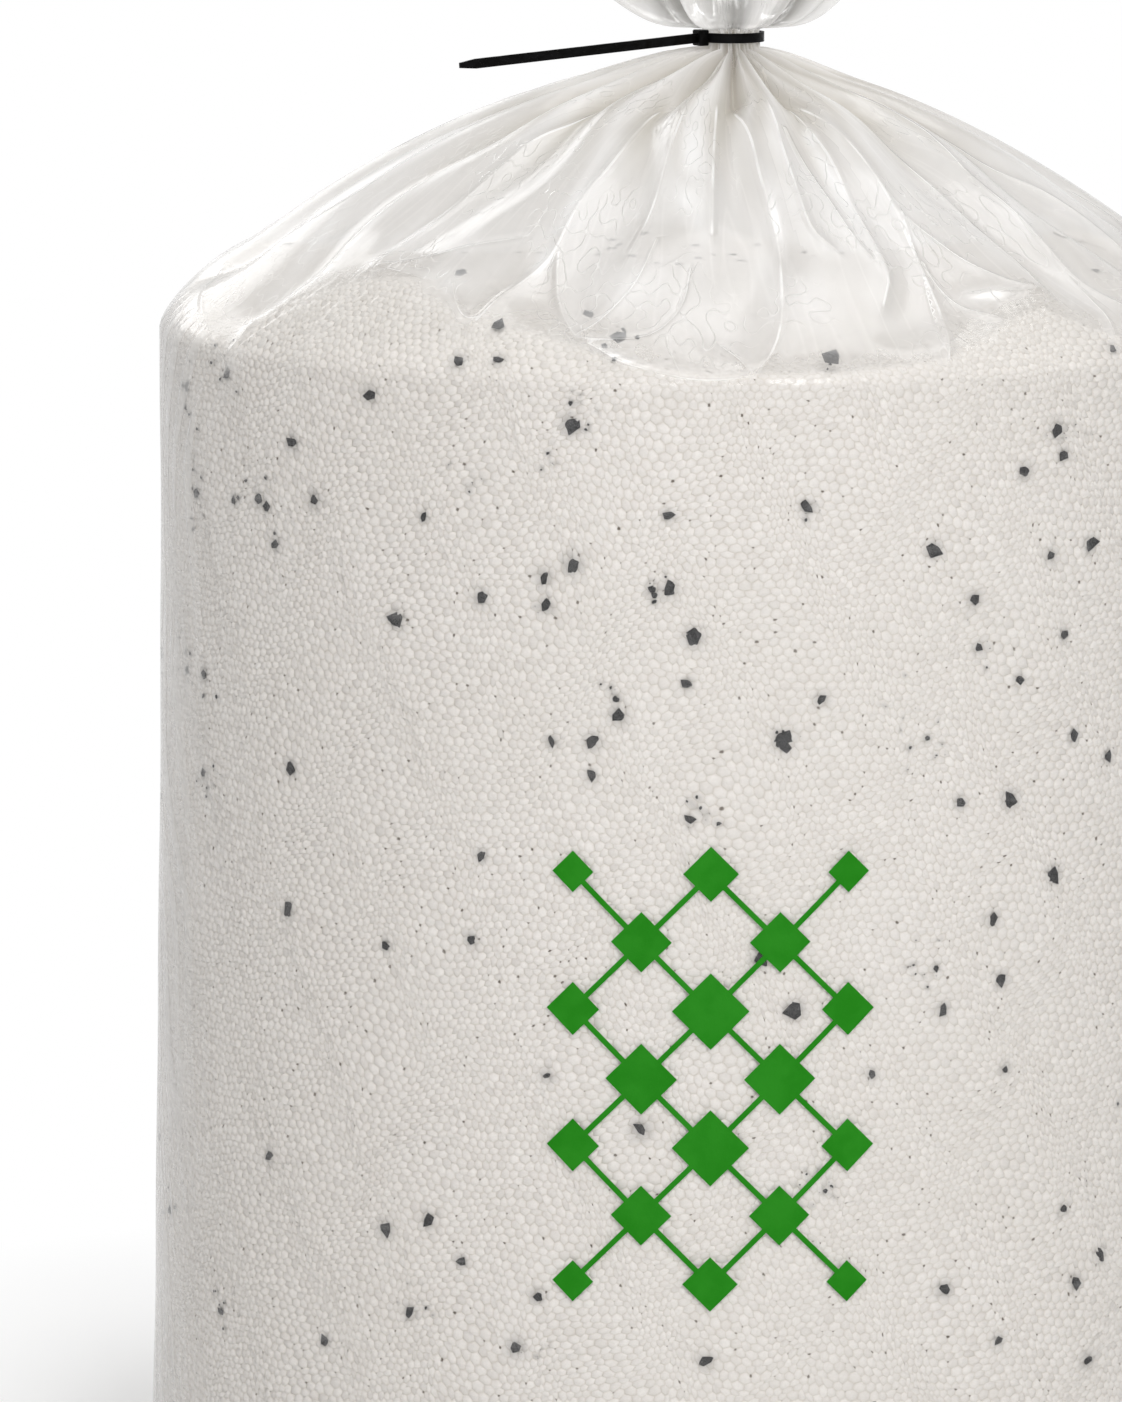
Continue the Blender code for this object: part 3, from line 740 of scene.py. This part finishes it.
def flare_points(angle, share):
    """The ruffled film above the tie."""
    wave = ruffle(angle)
    second = np.cos(11 * angle + 1.3) + 0.6 * np.cos(23 * angle + 0.4)
    lobe = 0.5 + 0.5 * np.cos(FLARE_LOBES * (angle - FLARE_LOBE_ANGLE))
    radius = mix(NECK_RADIUS, FLARE_RADIUS, share**0.48)
    folds = 0.022 * share**0.4
    radius = radius - folds * (0.5 + 0.5 * wave) + 0.0035 * share * second
    radius = radius + 0.008 * share**2 * lobe
    height = NECK_TOP + FLARE_HEIGHT * share**1.6 - FLARE_DROOP * share**3 * lobe
    height = height + 0.006 * share**2 * np.sin(7 * angle + 2.1) + 0.003 * share * wave
    return around(angle + 0.05 * share * np.sin(5 * angle), radius, height, NECK_OFFSET)


def around(angle, radius, height, offset=0.0):
    """Points round the bag's axis, or round one that stands to the right of it."""
    return np.stack((offset + radius * np.sin(angle), -radius * np.cos(angle), height), axis=-1)


def turned_points(angle, run, shift):
    """Points of the film that stand out from its outline by a shift."""
    radius, height, out_radius, out_height = FILM.at(run)
    return around(angle, radius + out_radius * shift, height + out_height * shift, sideways(run))


def quads(first, columns, rows):
    """The corners of a grid's faces; the grid's rows are closed rings."""
    column = np.arange(columns)
    following = (column + 1) % columns
    corners = np.stack((column, following, following + columns, column + columns), axis=1)
    return [corners + first + row * columns for row in range(rows - 1)]


def make_film(material):
    """One skin: base, wall, folded dome, gathered neck and ruffled flare."""
    base_run, foot_run, wall_run = FILM.run[[0, 1, FOOT_POINTS]]
    base_runs = np.linspace(base_run + 0.03, foot_run, 4)[:-1]
    foot_runs = np.linspace(foot_run, wall_run, 6)[:-1]
    wall_runs = np.linspace(wall_run, -0.012, WALL_ROWS)
    wall_runs = np.concatenate((base_runs, foot_runs, wall_runs))
    # The columns stand closer together in front
    dome_angle = np.arange(DOME_COLUMNS) * 2 * math.pi / DOME_COLUMNS
    dome_angle = dome_angle - FRONT_CROWDING * np.sin(dome_angle)
    angle, run = np.meshgrid(dome_angle[::2], wall_runs)
    ripple = np.sin(9 * angle + 14 * run) * np.sin(31 * run + 2 * np.sin(3 * angle))
    beside_print = smoothstep((np.abs(angle - math.pi) - (math.pi - 0.36)) / -0.12)
    shift = -0.0004 * (1.0 + ripple) * beside_print * smoothstep((run - wall_run) / 0.08)
    wall = turned_points(angle, run, shift * smoothstep((-0.012 - run) / 0.06))

    neck_runs = np.linspace(NECK_RUN, FILM.run[-1], NECK_ROWS + 1)[1:-1]
    dome_runs = np.concatenate((np.linspace(-0.009, NECK_RUN, DOME_ROWS), neck_runs))
    angle_up, run_up = np.meshgrid(dome_angle, dome_runs)
    shift_up, valley, away, sided = film_shift(angle_up, run_up)
    top = turned_points(angle_up, run_up, shift_up)

    flare_share = np.linspace(0.0, 1.0, FLARE_ROWS) ** 1.6
    angle_flare, share_flare = np.meshgrid(dome_angle, flare_share)
    flare = flare_points(angle_flare, share_flare)

    points = np.concatenate([part.reshape(-1, 3) for part in (wall, top, flare, np.zeros(3))])
    column = np.arange(WALL_COLUMNS)
    following = (column + 1) % WALL_COLUMNS
    centre = np.full(WALL_COLUMNS, len(points) - 1)
    first_upper = wall.size // 3
    last_wall = first_upper - WALL_COLUMNS
    # The dome has two columns for each of the wall's
    twice = [first_upper + (2 * column + step) % DOME_COLUMNS for step in (2, 1, 0)]
    joint = np.stack((last_wall + column, last_wall + following, *twice), axis=1)
    faces = quads(0, WALL_COLUMNS, len(wall_runs))
    faces += [np.stack((centre, following, column), axis=1), joint]
    faces += quads(first_upper, DOME_COLUMNS, len(dome_runs) + FLARE_ROWS)
    loops = np.concatenate([part.ravel() for part in faces])
    sizes = np.concatenate([np.full(len(part), part.shape[1]) for part in faces])
    film = new_mesh("bag_film_skin", points, loops, sizes, material)

    def joined(on_wall, on_dome, on_flare, at_centre):
        """One value for each point, from those of the parts."""
        parts = ((on_wall, angle), (on_dome, angle_up), (on_flare, angle_flare))
        flat = [np.broadcast_to(part, grid.shape).ravel() for part, grid in parts]
        return np.concatenate((*flat, [at_centre]))

    all_angle = joined(angle, angle_up, angle_flare, 0.0)
    all_run = joined(run, run_up, FILM.run[-1] + 0.09 * share_flare, base_run)
    signed = within(all_angle)
    unrolled = np.stack((signed * BAG_RADIUS, all_run, 0.0 * all_run), axis=1)
    set_attributes(film, kind="FLOAT_VECTOR", unrolled=unrolled)
    past_lift = all_run - lift_run(all_angle)
    loose = smoothstep(past_lift / 0.02 + 0.2)
    soft_edge = 0.006 * np.sin(23 * all_angle) * np.sin(37 * all_angle + 1.0)
    haze = mix(0.04, 0.50, smoothstep((past_lift + 0.020 + soft_edge) / 0.066))
    haze = haze + 0.26 * smoothstep((all_run - 0.07) / 0.18)
    side = np.abs(np.sin(all_angle))
    low = np.exp(-np.maximum(past_lift, 0.0) / 0.06)
    # Low on the left and right sides the film is clearer; at the very sides, where it lies on the
    # beads, it is milkier, a painted sheen
    haze = haze * (1.0 - 0.50 * low * smoothstep((side - 0.72) / 0.2))
    haze = haze + 0.30 * smoothstep((side - 0.88) / 0.11) * (1.0 - loose)
    fall = np.exp(-np.maximum(-all_run, 0.0) / 0.16)
    # Wrinkles all round, more at the back, and a painted sheen at the left and right sides,
    # strongest up the wall
    streaks = 0.10 + 0.12 * smoothstep((np.abs(signed) - 1.0) / 0.4)
    streaks = streaks + 0.45 * fall * side**5 + 0.16 * smoothstep((side - 0.80) / 0.2)
    # How far down the folds lie, for their painted shade
    flare_valley = smoothstep(0.5 + 0.6 * ruffle(angle_flare))
    neck_valley = valley * smoothstep((run_up - 0.10) / 0.16)
    set_attributes(
        film,
        crease_away=np.minimum(joined(1.0, away, 1.0, 1.0), 0.02),
        crease_side=np.clip(joined(1.0, sided, 1.0, 1.0), -0.02, 0.02),
        deep=joined(0.0, neck_valley, 0.20 + 0.80 * flare_valley, 0.0),
        haze=haze,
        loose=loose,
        crisp=loose * (1.0 - 0.75 * smoothstep((side - 0.70) / 0.25)),
        streaks=np.clip(streaks, 0.0, 1.0) * (1.0 - loose),
        fine=(0.25 + 0.60 * side**2) * (1.0 - loose),
        bright=joined(0.0, bright_patches(top), 0.0, 0.0),
    )
    return film


# The beads


def chip_places():
    """The dark chips among the beads, and those that cling to the loose film, both as (angle,
    run, size), and those on the beads' top, as (x, y, size)."""
    random = np.random.default_rng(21)
    wanted = [(x, y, mix(0.0030, 0.0060, random.random() ** 1.4)) for x, y in CHIPS]
    for x, y, spread in CHIP_CLUSTERS:
        for _ in range(int(spread * 0.7)):
            at = random.normal(0.0, spread, 2)
            wanted.append((x + at[0], y + at[1], mix(0.0003, 0.0022, random.random() ** 4)))
    side, clinging, top = [], [], []
    for x, y, size in wanted:
        angle, run = pixel_on(FILM, x, y)
        held = run < float(lift_run(np.array(angle)))
        (side if held else clinging).append((angle, run, size))
    low, high = min(place[0] for place in side), max(place[0] for place in side)
    bottom = min(place[1] for place in side)
    # More of them where the photograph doesn't show the bag
    for _ in range(210):
        angle = random.uniform(-math.pi, math.pi)
        run = random.uniform(FILM.run[20], 0.02)
        size = random.uniform(0.0024, 0.0044)
        near = random.normal(0.0, 0.010, (random.integers(0, 6), 2))
        if low < angle < high and run > bottom:
            continue
        side.append((angle, run, size))
        for step in near:
            side.append((angle + step[0] / BAG_RADIUS, min(run + step[1], 0.02), 0.35 * size))
    for _ in range(26):
        far, turn = 0.21 * math.sqrt(random.random()), random.uniform(0.0, 2 * math.pi)
        place = (far * math.sin(turn), far * abs(math.cos(turn)))
        top.append((*place, random.uniform(0.0024, 0.0044)))
    return side, clinging, top


def bead_surface(angle, run, depth):
    """Points on the beads: under the film up to where it lifts off, and then in over the top."""
    contact = lift_run(angle)
    radius, height, out_radius, out_height = FILM.at(np.minimum(run, contact))
    past = np.maximum(run - contact, 0.0)
    slope = np.arctan2(out_radius, out_height)
    turned = np.minimum(past / HEAP_EDGE_RADIUS, slope)
    straight = past - turned * HEAP_EDGE_RADIUS
    now = slope - turned
    radius = radius - HEAP_EDGE_RADIUS * (np.sin(slope) - np.sin(now)) - straight
    height = height + HEAP_EDGE_RADIUS * (np.cos(now) - np.cos(slope))
    depth = depth - FILL_INSET
    radius = radius + np.sin(now) * depth
    height = np.maximum(height + np.cos(now) * depth * (run > FILM.run[FOOT_POINTS]), 0.0009)
    return around(angle, radius, height)


def bead_axes(angle, run):
    """The outward, sideways and upward directions on the beads' surface."""
    step = 0.0005
    here = bead_surface(angle, run, np.zeros(len(run)))
    upward = bead_surface(angle, run + step, np.zeros(len(run))) - here
    upward /= np.maximum(np.linalg.norm(upward, axis=1, keepdims=True), 1e-9)
    aside = np.stack((np.cos(angle), np.sin(angle), np.zeros(len(angle))), axis=1)
    return np.cross(aside, upward), aside, upward


def top_edge(angle):
    """(radius, height) where the beads' top begins, round the bag."""
    radius, height, out_radius, out_height = FILM.at(lift_run(angle))
    slope = np.arctan2(out_radius, out_height)
    radius = radius - HEAP_EDGE_RADIUS * np.sin(slope) - FILL_INSET
    return radius, height + HEAP_EDGE_RADIUS * (1.0 - np.cos(slope)) - FILL_INSET


def top_level(x, y):
    """(height of the beads' top, share of the way out to its edge) at a place in plan."""
    edge_radius, edge_height = top_edge(np.arctan2(x, -y))
    share = np.hypot(x, y) / edge_radius
    lumps = 0.003 * np.sin(31 * x + 1.0) * np.cos(27 * y + 0.5) * (1.0 - np.minimum(share, 1.0))
    return mix(MOUND_TOP, edge_height, np.minimum(share, 1.0) ** MOUND_CURVE) + lumps, share


def base_level(x, y):
    share = np.hypot(x, y) / BASE_BEADS_RADIUS
    return FILL_INSET + 0.0 * x, share


def lattice(columns, rows):
    """(row, column, 1 in each odd row) of a bead lattice, whose odd rows are half a step on."""
    row, column = np.meshgrid(np.arange(rows), np.arange(columns), indexing="ij")
    return row, column, row % 2


def hexagons(row, column, across, along, circle=0.0):
    """Hexagons round jittered centres. A circle is the distance after which a row comes round.

    Gives (across and along of the centres and then of the corners, six corners of each bead).
    """
    rows, columns = row.shape
    count, odd = row.size, row % 2

    def corner(*members):
        totals = [0.0, 0.0]
        for rows_at, columns_at in members:
            rows_at, turns = np.clip(rows_at, 0, rows - 1), columns_at // columns
            place = across[rows_at, columns_at % columns] + turns * circle
            totals[0] = totals[0] + place
            totals[1] = totals[1] + along[rows_at, columns_at % columns]
        return totals[0] / 3, totals[1] / 3

    right = (row + 1, column + odd)
    first = corner((row, column), (row, column + 1), right)
    second = corner((row, column), (row + 1, column - 1 + odd), right)
    ring = [
        layer * count + (row + up) * columns + (column + step) % columns
        for layer, up, step in (
            (2, 0, 0), (1, 0, -1), (2, -1, odd - 1), (1, -1, odd - 1), (2, -1, odd), (1, 0, 0)
        )
    ]
    all_across, all_along = (
        np.concatenate((centres.ravel(), first[axis].ravel(), second[axis].ravel()))
        for axis, centres in enumerate((across, along))
    )
    return all_across, all_along, np.stack(ring, axis=-1)


def bead_depth(random, count):
    """How far out the centres and corners of beads lie, and which of them are corners."""
    edge = np.repeat((0.0, 1.0, 1.0), count)
    depth = -BEAD_CREVICE * edge
    depth[:count] = random.uniform(-0.0005, 0.0, count)
    return depth, edge


def make_beads(name, material, points, picked, ring, flat_at, axes_at, tint, up=1.0, **values):
    """A mesh of hexagon fans, rounded by corner normals that lean away from each middle.

    flat_at gives the way from one point to another on the lattice.
    """
    first, second = np.repeat(picked, 6), ring.ravel()
    third = np.roll(ring, -1, axis=1).ravel()
    order = (first, second, third) if up > 0 else (first, third, second)
    flat, own = np.stack(order, axis=1).ravel(), np.repeat(first, 3)
    used, loops = np.unique(flat, return_inverse=True)
    obj = new_mesh(name, points[used], loops.reshape(-1), np.full(len(first), 3), material)
    local = np.stack(flat_at(flat, own), axis=1) / (0.5 * BEAD_PITCH)
    outward, aside, upward = axes_at(own)
    far = np.linalg.norm(local, axis=1, keepdims=True)
    lean = np.sin(BEAD_TILT * np.minimum(far, 1.2))
    turn = local / np.maximum(far, 1e-6) * lean
    normal = turn[:, :1] * aside + turn[:, 1:] * upward + outward * np.sqrt(1.0 - lean**2)
    obj.data.normals_split_custom_set(normal.tolist())
    set_attributes(obj, "FACE", tint=tint[first])
    set_attributes(obj, **{key: value[used] for key, value in values.items()})
    return obj


def bead_rings(chips, material):
    """The beads against the film, as hexagons round jittered centres, in three parts."""
    random = np.random.default_rng(3)
    row_height = BEAD_PITCH * math.sqrt(0.75)
    lowest = FILM.run[1] + 0.004
    rows = int((CONTACT_MOST + 0.03 - lowest) / row_height) + 1
    row, column, odd = lattice(BEAD_COLUMNS, rows)
    angle = (column + 0.5 * odd) * 2 * math.pi / BEAD_COLUMNS
    run = lowest + row * row_height
    # A slow drift breaks up the rows
    drift, rise = 0.0, 0.0
    for turns, waves, phase in ((7, 38, 0.3), (13, 21, 1.9), (19, 55, 4.0), (29, 47, 2.2)):
        drift = drift + np.sin(turns * angle + waves * run + phase)
        rise = rise + np.cos(turns * angle - waves * run + 2 * phase)
    shake = random.uniform(-0.40, 0.40, (2, *row.shape))
    centre_angle = angle + (0.55 * drift + shake[0]) * BEAD_PITCH / BAG_RADIUS
    centre_run = run + (0.5 * rise + shake[1]) * BEAD_PITCH
    circle = 2 * math.pi * BAG_RADIUS
    across, along, ring = hexagons(row, column, centre_angle * BAG_RADIUS, centre_run, circle)
    shown = (centre_run - lift_run(centre_angle) < BEADS_PAST_LIFT) & (row > 0) & (row < rows - 1)
    centres, ring = np.flatnonzero(shown), ring[shown]
    count = row.size
    depth, edge = bead_depth(random, count)
    depth[count:] += random.uniform(-0.0003, 0.0003, 2 * count)
    all_angle = across / BAG_RADIUS
    points = bead_surface(all_angle, along, depth)
    shade = chip_shade(all_angle, along, chips)
    tint = random.beta(4, 3, 3 * count)
    junction = np.zeros(3 * count)
    # Only at every second corner, so that no two dots touch
    dark = random.random(count) < 0.075
    junction[count : 2 * count] = np.where(dark, 0.72 + 0.28 * random.random(count), 0.0)

    def flat_at(point, own):
        return within(across[point] - across[own], circle), along[point] - along[own]

    def axes_at(own):
        return bead_axes(all_angle[own], along[own])

    middle = within(np.degrees(all_angle[centres]), 360.0)
    thirds = {
        "beads_front": np.abs(middle) < 60, "beads_right": middle >= 60,
        "beads_left": middle <= -60,
    }
    values = {"tint": tint, "shade": shade, "junction": junction, "edge": edge}
    pieces = []
    for name, keep in thirds.items():
        places = (centres[keep], ring[keep])
        pieces.append(make_beads(name, material, points, *places, flat_at, axes_at, **values))
    return pieces


def chip_shade(angle, run, chips):
    """The beads go grey next to a dark chip, which shows through them."""
    shade = np.zeros(len(run))
    for chip_angle, chip_run, size in chips:
        near = np.flatnonzero(np.abs(run - chip_run) < 0.012)
        away = np.hypot(within(angle[near] - chip_angle) * BAG_RADIUS, run[near] - chip_run)
        reach = 0.9 * size + 0.0009
        shade[near] = np.maximum(shade[near], 0.5 * np.exp(-((away / reach) ** 3)))
    return shade


def bead_disc(name, material, level_at, chips, seed, up=1.0):
    """A round patch of beads on the fill's top or base, as hexagons on a flat lattice."""
    random = np.random.default_rng(seed)
    row_height = BEAD_PITCH * math.sqrt(0.75)
    half_rows = int(BAG_RADIUS / row_height) + 2
    half_columns = int(BAG_RADIUS / BEAD_PITCH) + 2
    row, column, odd = lattice(2 * half_columns + 1, 2 * half_rows + 1)
    x = (column - half_columns + 0.5 * odd) * BEAD_PITCH
    y = (row - half_rows) * row_height
    drift = np.sin(38 * x + 51 * y) + np.sin(71 * y - 33 * x + 1.0) + np.sin(90 * x + 2.0)
    rise = np.cos(45 * x - 60 * y) + np.cos(82 * x + 29 * y + 2.0)
    shake = random.uniform(-0.40, 0.40, (2, *row.shape))
    x = x + (0.5 * drift + shake[0]) * BEAD_PITCH
    y = y + (0.5 * rise + shake[1]) * BEAD_PITCH
    all_x, all_y, ring = hexagons(row, column, x, y)
    inside = (level_at(x, y)[1] < 1.0) & (row > 0) & (row < 2 * half_rows)
    inside &= (column > 1) & (column < 2 * half_columns - 1)
    depth, edge = bead_depth(random, row.size)
    points = np.stack((all_x, all_y, level_at(all_x, all_y)[0] + up * depth), axis=1)
    tint = random.beta(4, 3, len(all_x))
    junction = np.where(random.random(len(all_x)) < 0.06, 0.85, 0.0)
    junction[:row.size] = 0.0
    # The beads of the top get painted shade, that of the loose film over them
    shade = np.full(len(all_x), 0.13 if up > 0 else 0.0)
    for chip_x, chip_y, size in chips:
        away = np.hypot(all_x - chip_x, all_y - chip_y)
        shade = np.maximum(shade, 0.55 * np.exp(-((away / (size + 0.0008)) ** 2)))

    def flat_at(point, own):
        return all_x[point] - all_x[own], all_y[point] - all_y[own]

    def axes_at(own):
        return np.array([[[0.0, 0.0, up]], [[1.0, 0.0, 0.0]], [[0.0, 1.0, 0.0]]])

    places = (np.flatnonzero(inside), ring[inside])
    values = {"tint": tint, "shade": shade, "junction": junction, "edge": edge}
    return make_beads(name, material, points, *places, flat_at, axes_at, up=up, **values)


def make_chips(side, clinging, top, material):
    """Small angular chips among the beads, flush with the beads' tops."""
    random = np.random.default_rng(8)
    points, loops, sizes = [], [], []
    golden = math.pi * (3.0 - math.sqrt(5.0))
    # A ball of few corners, crushed differently for each chip
    ball = []
    for number in range(CHIP_CORNERS):
        up = 1.0 - 2.0 * (number + 0.5) / CHIP_CORNERS
        flat = math.sqrt(1.0 - up * up)
        ball.append((flat * math.cos(golden * number), flat * math.sin(golden * number), up))
    angle, run, _ = np.array(side).T
    among = bead_surface(angle, run, 0.0 * run)
    angle, run, _ = np.array(clinging).T
    inside = turned_points(angle, run, film_shift(angle, run)[0] - 0.0005)
    placed = []
    for (angle, run, size), place in zip(side + clinging, (*among, *inside)):
        placed.append((around(angle, *FILM.at(run)[2:]), place, size))
    for x, y, size in top:
        level = float(top_level(np.array(x), np.array(y))[0])
        placed.append((np.array((0.0, 0.0, 1.0)), np.array((x, y, level)), size))

    for outward, place, size in placed:
        shape = bmesh.new()
        stretch = random.uniform(0.6, 1.15, 3) * (1.0, 1.0, 0.55)
        spin = random.uniform(0.0, 2 * math.pi)
        for corner in ball:
            far = random.uniform(0.5, 1.2)
            x, y, z = np.array(corner) * far * stretch
            x, y = x * math.cos(spin) - y * math.sin(spin), x * math.sin(spin) + y * math.cos(spin)
            shape.verts.new((x, y, z))
        hull = bmesh.ops.convex_hull(shape, input=shape.verts)
        spare = [item for item in hull["geom_interior"] if isinstance(item, bmesh.types.BMVert)]
        bmesh.ops.delete(shape, geom=spare, context="VERTS")
        shape.verts.index_update()
        along = np.cross((0.31, 0.23, 0.92), outward)
        along /= np.linalg.norm(along)
        upward = np.cross(outward, along)
        cut = 0.45 * max(vert.co.z for vert in shape.verts)
        first = len(points)
        for vert in shape.verts:
            x, y, z = vert.co
            rise = (min(z, cut) - cut) * size + 0.0001
            points.append(place + (along * x + upward * y) * size + outward * rise)
        for face in shape.faces:
            loops += [first + vert.index for vert in face.verts]
            sizes.append(len(face.verts))
        shape.free()
    return new_mesh("dark_chips", points, loops, sizes, material, smooth=False)


# The scene


def make_floor():
    n = new_nodes("pale_floor")
    place = n.place()
    colour = n.blend(n.noise(place, 1.2, 2.0), (0.78, 0.78, 0.78), (0.80, 0.80, 0.80))
    diffuse = n.add("BsdfDiffuse", {"Color": colour})
    glow = n.add("Emission", {"Color": WHITE, "Strength": FLOOR_GLOW})
    near = n.add("AddShader", {0: diffuse, 1: glow})
    # Beyond the bag the floor fades to white; nearer in it keeps its lit grey, a painted shadow
    # round the bag's foot
    far = n.add("VectorMath", {0: place}, operation="LENGTH").outputs["Value"]
    white = n.add("Emission", {"Color": WHITE, "Strength": 1.0})
    both = n.mix_shader(n.ramp(far, *SHADOW_REACH, smooth=False), near, white)
    material = n.finish(n.mix_shader(n.seen_directly(), diffuse, both))
    signs = ((-1, -1), (1, -1), (1, 1), (-1, 1))
    corners = [(x * FLOOR_REACH, y * FLOOR_REACH, 0.0) for x, y in signs]
    new_mesh("floor", corners, range(4), [4], material, smooth=False)


def make_world():
    world = bpy.data.worlds.new("studio")
    bpy.context.scene.world = world
    n = Nodes(world)
    soft, white = (
        n.add("Background", {"Color": WHITE, "Strength": strength}) for strength in (AMBIENT, 1.0)
    )
    n.finish(n.mix_shader(n.seen_directly(), soft, white), "OutputWorld")


def make_light(name, place, target, size, power):
    light = bpy.data.lights.new(name, "AREA")
    light.shape = "RECTANGLE"
    light.size, light.size_y = size
    light.energy = power
    obj = bpy.data.objects.new(name, light)
    bpy.context.scene.collection.objects.link(obj)
    obj.location = place
    away = np.array(target) - np.array(place)
    flat = math.hypot(away[0], away[1])
    obj.rotation_euler = (math.atan2(flat, -away[2]), 0.0, math.atan2(-away[0], away[1]))


def make_lights():
    middle = (0.0, 0.0, 0.45)
    make_light("key", (0.75, -3.1, 2.2), middle, (1.2, 1.2), 55.0)
    make_light("front", (-0.4, -4.2, 1.4), middle, (1.6, 1.0), 22.0)
    make_light("top_strip", (0.35, 0.1, 2.6), middle, (0.8, 2.0), 18.0)
    make_light("top_left", (-1.3, -0.4, 2.4), middle, (0.5, 1.6), 4.0)
    make_light("back", (-1.4, 2.4, 1.8), middle, (1.4, 1.4), 14.0)


def make_camera():
    camera = bpy.data.cameras.new("photo")
    camera.sensor_width = SENSOR
    camera.lens = FOCAL_PIXELS * SENSOR / PHOTO_HEIGHT
    camera.clip_start, camera.clip_end = 0.1, 200.0
    obj = bpy.data.objects.new("photo", camera)
    bpy.context.scene.collection.objects.link(obj)
    obj.location = CAMERA_AT
    obj.rotation_euler = (0.5 * math.pi - CAMERA_PITCH, 0.0, 0.0)
    bpy.context.scene.camera = obj


def main():
    make_camera()
    make_world()
    make_lights()
    make_floor()

    beads = bead_material()
    side_chips, loose_chips, top_chips = chip_places()
    pieces = bead_rings(side_chips, beads)
    pieces.append(bead_disc("beads_top", beads, top_level, top_chips, 31))
    pieces.append(bead_disc("beads_base", beads, base_level, [], 32, -1.0))
    pieces.append(make_chips(side_chips, loose_chips, top_chips, chip_material()))
    for piece in pieces:
        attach(piece, "root")
        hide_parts("bead_fill")

    film = make_film(film_material())
    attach(film, "root")
    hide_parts("bag_film")

    for node, material in (("cable_tie", tie_material()), ("green_print", ink_material())):
        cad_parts[node].material_slots[0].material = material

    bpy.context.scene.view_settings.view_transform = "Standard"


main()
